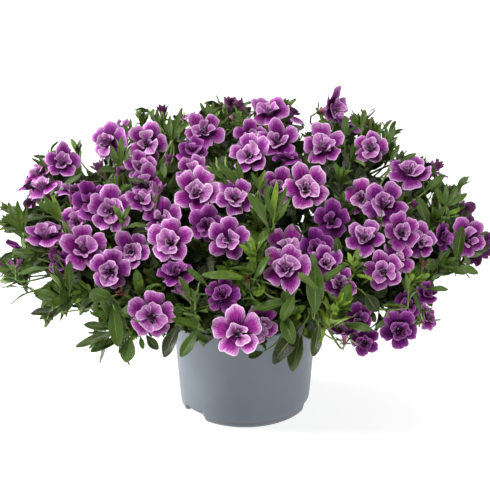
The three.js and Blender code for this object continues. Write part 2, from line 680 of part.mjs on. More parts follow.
// With `knots`, the funnel runs on as a three-sided stalk through them; else it ends in a point.
function bloomSolid(bloom, grow, knots = [], endShare = 1) {
  const at = bloomFrame(bloom);
  const size = bloom.radius;
  const step = (2 * Math.PI) / LOBES;
  const points = [];
  const triangles = [];
  for (let k = 0; k < LOBES; k += 1) {
    const lobe = 1 + 0.5 * LOBE_SHIFT * spread(6, bloom.number, k);
    const lift = LOBE_LIFT * size * spread(7, bloom.number, k);
    points.push(at(BETWEEN_LOBES * size + grow, (k - 0.5) * step, 0));
    points.push(at(lobe * size + grow, (k - LOBE_CORNER) * step, lift));
    points.push(at(lobe * size + grow, (k + LOBE_CORNER) * step, lift));
  }
  const crown = points.length;
  for (let k = 0; k < LOBES; k += 1) {
    const height = (CROWN_HEIGHT + CROWN_SHIFT * spread(8, bloom.number, k)) * size;
    points.push(at(CROWN_RADIUS * size + grow, k * step, height + grow));
  }
  const throat = points.length;
  for (let k = 0; k < LOBES; k += 1) {
    points.push(at(THROAT_RADIUS * size + grow, k * step, -THROAT_DEPTH * size - grow));
  }
  const pit = points.length;
  points.push(at(0, 0, CROWN_DIP * size + grow));
  for (let k = 0; k < LOBES; k += 1) {
    const next = (k + 1) % LOBES;
    for (const [ring, flip] of [[crown, false], [throat, true]]) {
      const fan = [
        [3 * k, 3 * k + 1, ring + k],
        [3 * k + 1, 3 * k + 2, ring + k],
        [3 * k + 2, 3 * next, ring + k],
        [3 * next, ring + next, ring + k],
      ];
      triangles.push(...fan.map(([a, b, c]) => (flip ? [a, c, b] : [a, b, c])));
    }
    triangles.push([crown + k, crown + next, pit]);
  }
  const tail = points.length;
  if (knots.length === 0) {
    points.push(at(0, 0, -TUBE_LENGTH * size - grow));
    for (let k = 0; k < LOBES; k += 1) {
      triangles.push([throat + ((k + 1) % LOBES), throat + k, tail]);
    }
    return solidFromLists(points, triangles);
  }
  // Each corner of the stalk's first ring serves the throat's corners nearest to it.
  const corners = [0, 1, 1, 2, 0].map((k) => tail + k);
  const sides = 3;
  for (let k = 0; k < LOBES; k += 1) {
    const next = (k + 1) % LOBES;
    triangles.push([throat + next, throat + k, corners[k]]);
    if (corners[k] !== corners[next]) {
      triangles.push([throat + next, corners[k], corners[next]]);
    }
  }
  const route = new Route([bloomTail(bloom), ...knots]);
  const right = at(1, 0, 0).sub(at(0, 0, 0));
  const last = route.knots.length - 1;
  route.knots.forEach((knot, n) => {
    const axis = n === 0 ? bloom.face.clone().negate() : route.getTangentAt(n / last);
    const side = right.clone().addScaledVector(axis, -right.dot(axis)).normalize();
    const over = new THREE.Vector3().crossVectors(side, axis);
    for (let k = 0; k < sides; k += 1) {
      const turn = (2 * Math.PI * k) / sides + 0.5 * step;
      const radius = STALK_RADIUS * (n === last ? endShare : 1) + grow;
      const point = knot.clone().addScaledVector(side, radius * Math.cos(turn));
      points.push(point.addScaledVector(over, radius * Math.sin(turn)));
    }
    if (n > 0) {
      const before = tail + sides * (n - 1);
      for (let k = 0; k < sides; k += 1) {
        const next = (k + 1) % sides;
        triangles.push([before + next, before + k, before + sides + k]);
        triangles.push([before + next, before + sides + k, before + sides + next]);
      }
    }
  });
  const end = tail + sides * last;
  triangles.push([end + 2, end + 1, end]);
  return solidFromLists(points, triangles);
}

// The end of a bloom's funnel, where its stalk begins.
function bloomTail(bloom) {
  return bloom.centre.clone().addScaledVector(bloom.face, -TUBE_LENGTH * bloom.radius);
}

// ---- Pot ----
function potWallRadius(height) {
  return FOOT_RADIUS + ((RIM_RADIUS - LIP_PROUD - FOOT_RADIUS) * height) / POT_HEIGHT;
}

function potSolid() {
  const inner = (height) => potWallRadius(height) - WALL;
  const lipBottom = POT_HEIGHT - LIP_HEIGHT;
  const profile = [
    [0, FLOOR_BOTTOM],
    [FOOT_RING_INNER, FLOOR_BOTTOM],
    [FOOT_RING_INNER, 0],
    [potWallRadius(0) - FOOT_ROUNDING, 0],
    [potWallRadius(FOOT_ROUNDING), FOOT_ROUNDING],
    [potWallRadius(lipBottom), lipBottom],
    [RIM_RADIUS, lipBottom + LIP_UNDERCUT],
    [RIM_RADIUS, POT_HEIGHT - LIP_ROUNDING],
    [RIM_RADIUS - LIP_ROUNDING, POT_HEIGHT],
    [inner(POT_HEIGHT), POT_HEIGHT],
    [inner(FLOOR_TOP), FLOOR_TOP],
    [0, FLOOR_TOP],
  ];
  const points = profile.map(([r, z]) => new THREE.Vector2(r, z));
  const lathe = new THREE.LatheGeometry(points, POT_SIDES);
  lathe.rotateX(Math.PI / 2);
  let solid = solidFromGeometry(lathe);
  for (const heading of NOTCH_HEADINGS) {
    solid = solid.subtract(notchCutter(radians(heading)));
  }
  for (let k = 0; k < DRAIN_COUNT; k += 1) {
    const turn = radians((360 / DRAIN_COUNT) * (k + 0.5));
    const floor = FLOOR_TOP - FLOOR_BOTTOM;
    const drain = new THREE.CylinderGeometry(DRAIN_RADIUS, DRAIN_RADIUS, 3 * floor, DRAIN_SIDES);
    drain.rotateX(Math.PI / 2);
    drain.translate(DRAIN_CIRCLE * Math.cos(turn), DRAIN_CIRCLE * Math.sin(turn), FLOOR_TOP - 0.5 * floor);
    solid = solid.subtract(solidFromGeometry(drain));
  }
  return solid;
}

// A trapezium through the foot ring, wider at the table, on the heading `turn`.
function notchCutter(turn) {
  const low = NOTCH_HALF_WIDTH + NOTCH_SLOPE;
  const shape = new THREE.Shape();
  shape.moveTo(-low, -1);
  shape.lineTo(low, -1);
  shape.lineTo(NOTCH_HALF_WIDTH, NOTCH_HEIGHT);
  shape.lineTo(-NOTCH_HALF_WIDTH, NOTCH_HEIGHT);
  shape.closePath();
  const inward = 0.5 * NOTCH_DEPTH;
  const cutter = new THREE.ExtrudeGeometry(shape, { depth: NOTCH_DEPTH, bevelEnabled: false });
  cutter.rotateX(Math.PI / 2);
  cutter.rotateZ(Math.PI / 2);
  cutter.translate(FOOT_RING_INNER - inward, 0, 0);
  cutter.rotateZ(turn);
  return solidFromGeometry(cutter);
}

// ---- Soil: a root ball that fills the pot, its top slightly crowned and crumbled ----
function soilSolid(stems) {
  const wall = (height) => potWallRadius(height) - WALL - SOIL_CLEARANCE;
  const profile = [
    [0, FLOOR_TOP + GAP],
    [wall(FLOOR_TOP), FLOOR_TOP + GAP],
    [wall(SOIL_TOP - SOIL_EDGE_DROP), SOIL_TOP - SOIL_EDGE_DROP],
    [wall(SOIL_TOP) * 0.93, SOIL_TOP - 0.3 * SOIL_EDGE_DROP],
    [wall(SOIL_TOP) * 0.66, SOIL_TOP + 0.5 * SOIL_CROWN],
    [0, SOIL_TOP + SOIL_CROWN],
  ];
  const points = profile.map(([r, z]) => new THREE.Vector2(r, z));
  const lathe = new THREE.LatheGeometry(points, SOIL_SIDES);
  lathe.rotateX(Math.PI / 2);
  const position = lathe.attributes.position;
  for (let k = 0; k < position.count; k += 1) {
    const x = position.getX(k);
    const y = position.getY(k);
    const z = position.getZ(k);
    const out = Math.hypot(x, y);
    if (z > SOIL_TOP - 1 && out > 1) {
      position.setZ(k, z + SOIL_WAVE * Math.sin(0.31 * x + 0.7) * Math.cos(0.27 * y));
    }
  }
  let solid = solidFromGeometry(lathe);
  for (const stem of stems) {
    solid = solid.subtract(stemHole(stem));
  }
  return solid;
}

// ---- Leafy stems ----
function stemKnots(stem) {
  const root = stem.foot.clone().setZ(SOIL_TOP - STEM_ROOT_DEPTH);
  const leave = stem.foot.clone().setZ(SOIL_TOP + STEM_RISE);
  const near = stem.centre.clone().lerp(leave, 0.5).addScaledVector(stem.outward, STEM_BOW);
  return [root, leave, near, stem.centre];
}

function stemSolid(stem) {
  return tubeAlong(stemKnots(stem), STEM_RADIUS, STEM_SIDES);
}

// The plain hole that a stem's foot stands in.
function stemHole(stem) {
  const bottom = stem.foot.clone().setZ(SOIL_TOP - STEM_ROOT_DEPTH - GAP);
  const top = stem.foot.clone().setZ(SOIL_TOP + STEM_RISE);
  return tubeAlong([bottom, top], STEM_RADIUS + Math.SQRT2 * GAP, STEM_SIDES);
}

function coreSolid(stem, grow) {
  const ball = new THREE.SphereGeometry(1, 6, 3);
  ball.rotateX(Math.PI / 2);
  ball.scale(CORE_WIDE + grow, CORE_WIDE + grow, CORE_THICK + grow);
  const turn = new THREE.Quaternion().setFromUnitVectors(vector(0, 0, 1), stem.outward);
  ball.applyQuaternion(turn);
  ball.translate(stem.centre.x, stem.centre.y, stem.centre.z);
  return solidFromGeometry(ball);
}

// ---- Fitting things in among each other ----
const obstacles = [];

function addObstacle(owner, solid, seat = '') {
  obstacles.push({ owner, solid, seat, box: solid.boundingBox() });
}

function boxesNear(a, b, reach) {
  return [0, 1, 2].every((k) => a.min[k] - reach < b.max[k] && b.min[k] - reach < a.max[k]);
}

// `seat` names the one stem of another node that the solid is meant to stand on.
function isClear(solid, owner, seat = owner) {
  const box = solid.boundingBox();
  return obstacles.every((other) => {
    if (other.owner === owner || other.seat === seat || !boxesNear(box, other.box, GAP)) {
      return true;
    }
    return solid.minGap(other.solid, 2 * GAP) >= GAP;
  });
}

const BEND_TRIES = 90;
const BEND_PUSH = 2.2;
const BEND_EASE = 0.13;
const TWIG_SIDES = 3;

// A tube from one point and way to another and on through `further`, bent aside until it is
// clear of every other node; only its end may come near `host`, the stem that it stands on.
function clearTube(from, to, further, radius, owner, host = owner) {
  const ease = BEND_EASE * from.point.distanceTo(to.point);
  const [side, over] = sidewaysOf(to.point.clone().sub(from.point).normalize());
  for (let k = 0; k < BEND_TRIES; k += 1) {
    const push = BEND_PUSH * Math.sqrt(k);
    const aside = blend(side, push * Math.cos(k * GOLDEN_ANGLE), over, push * Math.sin(k * GOLDEN_ANGLE));
    const middle = from.point.clone().lerp(to.point, 0.5).add(aside);
    middle.addScaledVector(from.way, ease).addScaledVector(to.way, -ease);
    const knots = [from.point, middle, to.point, ...further];
    const tube = tubeAlong(knots, radius, TWIG_SIDES);
    const open = tubeAlong(knots.slice(0, 3), radius, TWIG_SIDES);
    if (isClear(open, owner) && isClear(tube, owner, host)) {
      return { tube, knots };
    }
  }
  return null;
}

function largestPart(solid) {
  return solid.decompose().sort((a, b) => b.volume() - a.volume())[0];
}

function bloomsNear(a, b) {
  return a.centre.distanceTo(b.centre) < 2 * (a.radius + b.radius);
}

// ---- Making every node ----
const stems = layStems();
const blooms = layBlooms();
const sprays = laySprays(blooms, stems);
const shoots = layShoots(stems, blooms);
const stemName = (k) => `stem_${String(k + 1).padStart(2, '0')}`;
const sprayName = (k) => `spray_${String(k + 1).padStart(2, '0')}`;

const pot = potSolid();
const soil = soilSolid(stems);
addObstacle('pot', pot);
addObstacle('soil', soil);

const stemSolids = stems.map((stem, k) => {
  const solid = stemSolid(stem).add(coreSolid(stem, 0));
  addObstacle(stemName(k), solid, stemName(k));
  return solid;
});

// Bloom heads come first, later sprays trimmed where their petals meet earlier ones.
const trimmed = (head, rivals) => rivals.reduce((left, rival) => left.subtract(rival), head);

sprays.forEach((spray, k) => {
  const earlier = sprays.slice(0, k).flatMap((other) => other.blooms);
  for (const bloom of spray.blooms) {
    const whole = bloomSolid(bloom, 0);
    const near = earlier.filter((rival) => bloomsNear(bloom, rival));
    const close = near.filter((rival) => whole.minGap(bloomSolid(rival, 0), 2 * GAP) < GAP);
    bloom.rivals = close.map((rival) => bloomSolid(rival, TRIM_MARGIN));
    addObstacle(sprayName(k), largestPart(trimmed(whole, bloom.rivals)));
  }
});

// Shoots' own stems, then the blooms' stalks, each bent clear of what is there.
shoots.forEach((shoot) => {
  const owner = stemName(shoot.stem);
  const stem = stems[shoot.stem];
  const from = { point: stem.centre, way: shoot.base.clone().sub(stem.centre).normalize() };
  const to = { point: shoot.base, way: shoot.axis };
  const found = clearTube(from, to, [shoot.tip], SHOOT_RADIUS, owner);
  if (found) {
    shoot.tube = found.tube;
    addObstacle(owner, found.tube);
  }
});

const SEAT_TRIES = 9;
const SEAT_SHIFT = 0.16;
const SEAT_DEPTH = 0.6;
const LEAST_RISE = 0.35;
const FIRST_JOINT = 0.95;
const JOINT_STEP = 0.25;
const JOINTS = 4;
const JOINED_END = 0.5;

// A spray's leader stands on its leafy stem's core; the other stalks grow out of the leader's.
function seatOf(stem, way) {
  const rise = way.dot(stem.outward);
  const across = Math.sqrt(Math.max(1 - rise * rise, 0));
  const surface = 1 / Math.hypot(across / CORE_WIDE, rise / CORE_THICK);
  const joint = stem.centre.clone().addScaledVector(way, surface + JOINT_CLEARANCE);
  const seat = stem.centre.clone().addScaledVector(way, SEAT_DEPTH * surface);
  return { joint, seat };
}

// The straight way from a stem's core to the middle of a spray's blooms, kept rising.
function sprayWay(spray, stem) {
  const middle = vector(0, 0, 0);
  spray.blooms.forEach((bloom) => middle.addScaledVector(bloomTail(bloom), 1 / spray.blooms.length));
  const way = middle.sub(stem.centre).normalize();
  return way.addScaledVector(stem.outward, Math.max(LEAST_RISE - way.dot(stem.outward), 0)).normalize();
}

function clearStalk(bloom, leader, joined, straight, stem, owner, host) {
  const from = { point: bloomTail(bloom), way: bloom.face.clone().negate() };
  const [side, over] = sidewaysOf(straight);
  for (let k = 0; k < SEAT_TRIES; k += 1) {
    const shift = SEAT_SHIFT * Math.sqrt(k);
    const aside = blend(side, shift * Math.cos(k * GOLDEN_ANGLE), over, shift * Math.sin(k * GOLDEN_ANGLE));
    const way = straight.clone().add(aside).normalize();
    const arrive = way.clone().negate();
    let found = null;
    if (leader) {
      const share = FIRST_JOINT - JOINT_STEP * ((joined - 1 + k) % JOINTS);
      const joint = leader[1].clone().lerp(leader[2], share);
      found = clearTube(from, { point: joint, way: arrive }, [], STALK_RADIUS, owner);
    } else {
      const { joint, seat } = seatOf(stem, way);
      found = clearTube(from, { point: joint, way: arrive }, [seat], STALK_RADIUS, owner, host);
    }
    if (found) {
      return found.knots;
    }
  }
  return null;
}

sprays.forEach((spray, number) => {
  const owner = sprayName(number);
  const stem = stems[spray.stem];
  const core = coreSolid(stem, 1.5 * GAP);
  const straight = sprayWay(spray, stem);
  const reach = (bloom) => bloomTail(bloom).distanceTo(stem.centre);
  const nearestFirst = [...spray.blooms].sort((a, b) => reach(a) - reach(b));
  let leader = null;
  const heads = [];
  for (const bloom of nearestFirst) {
    const host = stemName(spray.stem);
    const knots = clearStalk(bloom, leader, heads.length, straight, stem, owner, host);
    if (knots) {
      const whole = bloomSolid(bloom, 0, knots.slice(1), leader ? JOINED_END : 1);
      const head = trimmed(whole, bloom.rivals);
      heads.push(leader ? head : head.subtract(core));
      leader = leader || knots;
    }
  }
  spray.solid = largestPart(heads.reduce((whole, head) => whole.add(head)));
  addObstacle(owner, spray.solid);
});

// Leaves last, each one bent a little or left out where it would cross another node.
const BLADE_BENDS = [0, 12, -12, 24, -24];
const INNER_SHARE = 0.3;

function bentBlade(blade, degrees) {
  const across = new THREE.Vector3().crossVectors(blade.face, blade.way).normalize();
  const turn = new THREE.Quaternion().setFromAxisAngle(across, radians(degrees));
  const way = blade.way.clone().applyQuaternion(turn);
  const face = blade.face.clone().applyQuaternion(turn);
  return { ...blade, way, face };
}

// The outer part of a leaf, which has to pass its own stem's other leaves too.
function outerBlade(blade) {
  const root = blade.root.clone().addScaledVector(blade.way, INNER_SHARE * blade.length);
  return { ...blade, root, length: (1 - INNER_SHARE) * blade.length };
}

function withinSpan(solid) {
  const { min, max } = solid.boundingBox();
  return Math.max(-min[0], max[0]) < HALF_SPAN_X && Math.max(-min[1], max[1]) < HALF_SPAN_Y;
}

function clearBlade(blade, owner, siblings) {
  for (const degrees of BLADE_BENDS) {
    const bent = bentBlade(blade, degrees);
    const solid = bladeSolid(bent);
    const outer = bladeSolid(outerBlade(bent));
    const apart = siblings.every((leaf) => outer.minGap(leaf, 1) > 0);
    if (apart && withinSpan(solid) && isClear(solid, owner)) {
      return solid;
    }
  }
  return null;
}

stemSolids.forEach((solid, k) => {
  const owner = stemName(k);
  const own = shoots.filter((shoot) => shoot.stem === k && shoot.tube);
  const blades = own.flatMap((shoot) => shootBlades(shoot));
  blades.push(...fillerBlades(stems[k], k));
  const leaves = [];
  for (const blade of blades) {
    const leaf = clearBlade(blade, owner, leaves);
    if (leaf) {
      leaves.push(leaf);
    }
  }
  const parts = [solid, ...own.map((shoot) => shoot.tube), ...leaves];
  leaves.forEach((leaf) => addObstacle(owner, leaf));
  stems[k].solid = largestPart(wasm.Manifold.union(parts).simplify(TIDY));
});

// ---- The scene graph ----
const material = (name, color, roughness) => {
  const finish = new THREE.MeshStandardMaterial({ color, roughness, metalness: 0 });
  finish.name = name;
  return finish;
};
const potPlastic = material('pot_plastic', 0x747d86, 0.45);
const pottingSoil = material('potting_soil', 0x2e241c, 1);
const foliage = material('foliage', 0x3f6226, 0.7);
const petals = material('petals', 0x9a3c8e, 0.8);

function meshFromSolid(name, solid, finish) {
  const { vertProperties, triVerts } = solid.getMesh();
  const geometry = new THREE.BufferGeometry();
  geometry.setAttribute('position', new THREE.BufferAttribute(new Float32Array(vertProperties), 3));
  geometry.setIndex(new THREE.BufferAttribute(new Uint32Array(triVerts), 1));
  geometry.computeVertexNormals();
  const mesh = new THREE.Mesh(geometry, finish);
  mesh.name = name;
  return mesh;
}

const plant = new THREE.Group();
plant.name = 'calibrachoa_in_pot';
plant.add(meshFromSolid('pot', pot, potPlastic));
plant.add(meshFromSolid('soil', soil, pottingSoil));
stems.forEach((stem, k) => plant.add(meshFromSolid(stemName(k), stem.solid, foliage)));
sprays.forEach((spray, k) => plant.add(meshFromSolid(sprayName(k), spray.solid.simplify(TIDY), petals)));

export default plant;
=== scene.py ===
"""The looks of a potted double calibrachoa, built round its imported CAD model.
Lengths are millimetres, as in the part's source, until make_piece turns them into metres."""
import math
import bpy
import numpy as np
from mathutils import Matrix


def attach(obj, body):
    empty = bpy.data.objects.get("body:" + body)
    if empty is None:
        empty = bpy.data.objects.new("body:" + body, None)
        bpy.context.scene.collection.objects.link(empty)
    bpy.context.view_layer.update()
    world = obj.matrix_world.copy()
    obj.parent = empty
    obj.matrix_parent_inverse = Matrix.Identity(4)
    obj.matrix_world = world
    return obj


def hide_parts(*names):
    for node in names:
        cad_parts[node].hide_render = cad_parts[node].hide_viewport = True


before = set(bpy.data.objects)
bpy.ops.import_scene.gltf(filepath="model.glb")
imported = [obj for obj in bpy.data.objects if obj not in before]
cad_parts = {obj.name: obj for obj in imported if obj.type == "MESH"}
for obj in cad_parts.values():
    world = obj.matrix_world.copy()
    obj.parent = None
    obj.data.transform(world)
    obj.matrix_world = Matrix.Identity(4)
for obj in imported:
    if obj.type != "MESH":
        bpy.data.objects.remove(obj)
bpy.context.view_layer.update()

MM = 0.001

# ---- Driving dimensions, the same as the part's ----
POT_HEIGHT, RIM_RADIUS, LIP_HEIGHT, LIP_PROUD = 85, 60, 2.6, 0.9
FOOT_RADIUS, FOOT_ROUNDING, WALL = 52.6, 2.6, 1.6
FLOOR_TOP, FLOOR_BOTTOM, FOOT_RING_INNER = 9.6, 7.2, 48.2
NOTCH_HEADINGS = (218, 348, 103)
NOTCH_HEIGHT, NOTCH_HALF_WIDTH, NOTCH_SLOPE = 6.6, 11.5, 2.4
LIP_UNDERCUT, LIP_ROUNDING = 0.6, 0.5
SOIL_TOP, SOIL_CROWN, SOIL_EDGE_DROP, SOIL_CLEARANCE = 76, 2.4, 2, 0.55
SPREAD_X, SPREAD_Y, WAIST_HEIGHT, RISE, DROP = 196, 176, 145, 96, 55
RISE_FALL_RIGHT, DROP_SAG_LEFT = 0.12, 0.25
HALF_SPAN_X, HALF_SPAN_Y = 198, 188
SIGHT_DISTANCE, SIGHT_ELEVATION, SIGHT_CENTRE_HEIGHT = 1800, 23.6, 138.5
CORE_DEPTH, CORE_WIDE, CORE_THICK = 42, 19, 11
STEM_ROOT_DEPTH, STEM_RADIUS, STEM_RISE, STEM_BOW = 12, 2.2, 6, 4
STEM_HEADING_SHIFT, STEM_TILT_SHIFT = 0.18, 3
TUBE_LENGTH, BLOOMS_PER_SPRAY = 0.9, 3
ROOT_SUNK, STAND_OUT, LEAF_LENGTH, LEAF_WIDTH = 1.6, 22, 25, 9
LEAF_LENGTH_SHARE, LEAF_LENGTH_SHIFT = 1.15, 0.3
SHOOT_LEAF_SLENDERNESS, SHOOT_LEAF_TAPER = 0.36, 0.3
SHOOT_OPENING, SHOOT_CLOSING, SHOOT_OPENING_SHIFT = 62, 44, 8
FILLER_OPENING, FILLER_SPREAD, FILLER_LEAVES, MOST_SHOOT_LEAVES = 20, 62, 3, 5
BACK_CANDIDATES, BACK_SHOOT_CANDIDATES, BACK_SHOOTS = 120, 150, 12
BACK_SHOOT_STRIDE, BACK_SHOOT_SPACING, BLOOM_CLEARANCE = 37, 38, 7
# Rings of leafy stems: (count, tilt, first heading, how far out their feet stand).
STEM_RINGS = ((1, 2, 270, 0), (6, 37, 270, 17), (9, 76, 250, 34))
LOBES, NUDGE, NUDGE_TRIES, BACK_NUDGES, BACK_LIMIT, BACK_LOWEST = 5, 2.5, 9, 2, 0.2, 107
# Back places that stay empty, as their blooms would stand out past the outline the front shows.
BACK_LEFT_OUT = (6, 14, 19, 50, 55, 56, 72, 76, 89, 93, 101, 106, 115)
BACK_SUNK, BACK_DIAMETER, BACK_DIAMETER_SHIFT, BACK_REACH = 7, 29, 7, 1.35
PETAL_THICKNESS, CROWN_RADIUS, CROWN_HEIGHT, THROAT_RADIUS = 1.6, 0.42, 0.3, 0.3
# Rings of points that stand for a bloom: (out, up, count), in shares of its radius.
PROBE_RINGS = ((1, 0, 15), (0.66, 0, 10), (CROWN_RADIUS, CROWN_HEIGHT, 5), (0.2, -0.4, 3),
               (0.1, -0.8, 2))

# Blooms that face the front: (across, up, diameter, lean right, lean up, sunk, tone, turn of a lobe). The
# tone is partly each bloom's own colour and partly painted shade on blooms sunk among the leaves.
FRONT_BLOOMS = [
    (-147, 67, 29, 0.1, 0.45, 0, 1, 85), (-165, 58, 30, -0.4, 0.8, 0, 1, 150),
    (-162, 47, 31, -0.35, 0.85, 0, 1, 100), (-139, 44, 29, 0, 0.95, 0, 1, 100),
    (-124, 36, 30, 0, 0.3, 4, 2, 108), (-108, 29, 35, 0, 0.25, 0, 1, 90),
    (-135, 19, 30, -0.2, 0.3, 6, 1, 150), (-160, 8, 35, 0, 0.85, 0, 1, 55),
    (-129, -2, 36, 0, 0.35, 0, 1, 97), (-108, -20, 33, 0, 0, 0, 1, 80),
    (-110, 84, 35, -0.5, 0.15, 0, 1, 150), (-79, 83, 33, 0, 0.2, 0, 0, 70), (-84, 63, 26, 0, 0.5, 3, 1, 21),
    (-33, 92, 34, 0, 0.6, 0, 1, 50), (-42, 76, 26, 0, 0.75, 0, 2, 60), (-79, 49, 26, 0, 0.3, 10, 1, 80),
    (-83, 37, 24, 0.1, 0.6, 0, 1, 100), (-42, 58, 29, 0, 0.5, 8, 1, 60), (-39, 43, 37, 0, 0.4, 0, 0, 62),
    (-67, 22, 31, -0.1, 0.3, 8, 1, 84), (-60, 4, 34, -0.1, 0.25, 0, 1, 88), (-31, 17, 28, 0, 0.1, 4, 2, 76),
    (-14, 6, 33, 0.1, 0.15, 0, 1, 82), (-8, 39, 30, 0.1, 0.4, 0, 1, 50),
    (20, 107, 34, -0.2, 0.75, 0, 1, 50), (26, 84, 33, 0, 0.45, 0, 1, 95), (4, 73, 34, -0.25, 0.5, 0, 1, 93),
    (4, 88, 26, 0, 0.3, 10, 1, 90), (33, 69, 26, 0.1, 0.95, 0, 2, 60), (26, 47, 29, 0, 0.3, 6, 1, 65),
    (49, 47, 37, 0, 0.3, 0, 0, 115), (70, 110, 33, 0.8, 0.2, 0, 1, 95), (63, 79, 36, 0, 0.55, 0, 1, 100),
    (101, 79, 28, -0.1, 0.2, 4, 1, 78), (132, 59, 36, 0, 0.7, 0, 1, 52), (112, 33, 35, 0, 0.3, 0, 1, 55),
    (94, 38, 30, -0.1, 0.1, 10, 0, 92), (126, 11, 29, 0, 0.2, 0, 1, 35), (141, 3, 27, 0.2, 0.3, 5, 1, 15),
    (159, 7, 23, 0.7, 0.2, 6, 2, 80), (179, 6, 32, 0.1, 0.1, 0, 1, 50), (70, 20, 28, 0, 0.15, 4, 2, 88),
    (96, 6, 32, 0, 0.55, 0, 1, 53), (57, -2, 27, 0, 0.3, 5, 2, 93), (33, -2, 33, 0, 0.4, 7, 0, 60),
    (33, -18, 37, 0, 0.45, 0, 1, 68), (65, -14, 27, 0.1, 0.3, 0, 1, 100), (76, -31, 28, 0.1, 0.5, 0, 1, 58),
    (111, -20, 30, -0.1, 0.05, 0, 1, 105), (122, -11, 28, 0, 0.3, 8, 0, 40),
    (-91, -4, 30, 0, 0.25, 0, 1, 56), (-56, -22, 30, 0, 0.75, 0, 2, 25),
    (-18, -39, 28, -0.15, 0.25, 0, 2, 78), (-75, -56, 37, 0, 0, 0, 1, 81), (-6, -69, 38, 0, 0.1, 0, 0, 97),
    (11, -63, 32, 0.3, 0, 10, 1, 48), (124, -67, 30, 0, 0, 0, 2, 56), (132, -47, 23, 0, 0.1, 10, 2, 85),
    (146, -39, 18, 0.2, 0.5, 0, 2, 100), (146, -58, 21, 0.5, 0.5, 0, 1, 60),
    (96, -77, 23, -0.2, 0, 6, 2, 34), (80, -69, 25, 0, 0.9, 6, 1, 90), (92, -58, 22, 0, 0.2, 12, 2, 115),
    (-147, -15, 23, -0.1, 0.1, 12, 2, 60),
]

# Shoots at the front: (across, up, heading, towards the eye, leafy length, leaves, leaf length, tone).
FRONT_SHOOTS = [
    (-184, 26, 112, 0.1, 24, 6, 26, 1), (-158, 76, 105, -0.3, 12, 4, 18, 1),
    (-101, 78, 92, 0, 16, 4, 18, 1), (-52, 97, 85, 0, 16, 5, 18, 1), (-28, 106, 95, 0, 14, 4, 18, 1),
    (-5, 104, 88, 0, 12, 4, 15, 1), (97, 102, 78, 0, 18, 5, 20, 1), (116, 92, 66, 0, 16, 4, 20, 1),
    (130, 76, 50, 0, 12, 3, 16, 1), (170, 44, 38, 0.1, 18, 5, 22, 1), (172, 24, 15, 0.1, 16, 4, 22, 1),
    (21, 36, 86, 0.35, 22, 6, 24, 1), (8, -8, 96, 0.5, 26, 7, 28, 2), (110, 28, 88, 0.4, 16, 4, 20, 2),
    (-102, 51, 84, 0.2, 14, 4, 16, 1), (-20, 56, 150, 0.3, 22, 5, 26, 1),
    (57, -30, 88, 0.5, 10, 3, 36, 1), (74, -50, 70, 0.5, 20, 7, 24, 2),
    (-184, -22, 118, 0.1, 18, 6, 20, 1), (-147, -44, 196, 0.3, 20, 6, 27, 0),
    (-112, -72, 202, 0.3, 16, 4, 30, 0), (-95, -80, 262, 0.3, 8, 2, 24, 1),
    (-104, -52, 300, 0.6, 12, 3, 38, 0), (-38, -78, 245, 0.4, 8, 2, 20, 1),
    (-62, -82, 262, 0.2, 10, 3, 30, 0), (34, -80, 250, 0.3, 14, 3, 34, 0),
    (54, -84, 268, 0.3, 8, 2, 28, 1), (-99, 20, 90, 0.5, 8, 5, 20, 1),
    (-40, -42, 90, 0.4, 14, 5, 20, 1), (88, -18, 86, 0.5, 6, 4, 22, 1),
    (132, -30, 88, 0.3, 20, 6, 22, 1), (140, -66, 268, 0.2, 14, 3, 20, 1),
    (-148, -32, 92, 0.4, 7, 3, 30, 0), (-168, -6, 180, 0.1, 20, 5, 27, 0),
    (158, 52, 70, 0.1, 16, 4, 22, 1), (174, -20, 340, 0.1, 12, 3, 16, 1),
]

# Buds and spent blooms: (across, up, heading, length, kind).
CLOSED, OPENING, SPENT = 0, 1, 2
BUDS = [
    (-66, 105, 96, 17, CLOSED), (-13, 111, 84, 16, CLOSED), (-2, 110, 128, 16, CLOSED),
    (152, 62, 42, 15, CLOSED), (-102, 56, 80, 14, CLOSED), (-116, 60, 120, 17, OPENING),
    (-62, 66, 80, 13, CLOSED), (-50, -38, 128, 15, OPENING), (-182, -17, 70, 13, CLOSED),
    (-97, -40, 150, 12, SPENT), (178, 27, 60, 12, CLOSED), (102, 96, 160, 11, SPENT),
    (-150, -46, 110, 11, SPENT), (134, 30, 60, 12, CLOSED), (-152, -8, 120, 14, CLOSED),
    (-71, 41, 85, 17, OPENING), (2, -30, 100, 11, SPENT), (143, -18, 80, 11, SPENT),
]

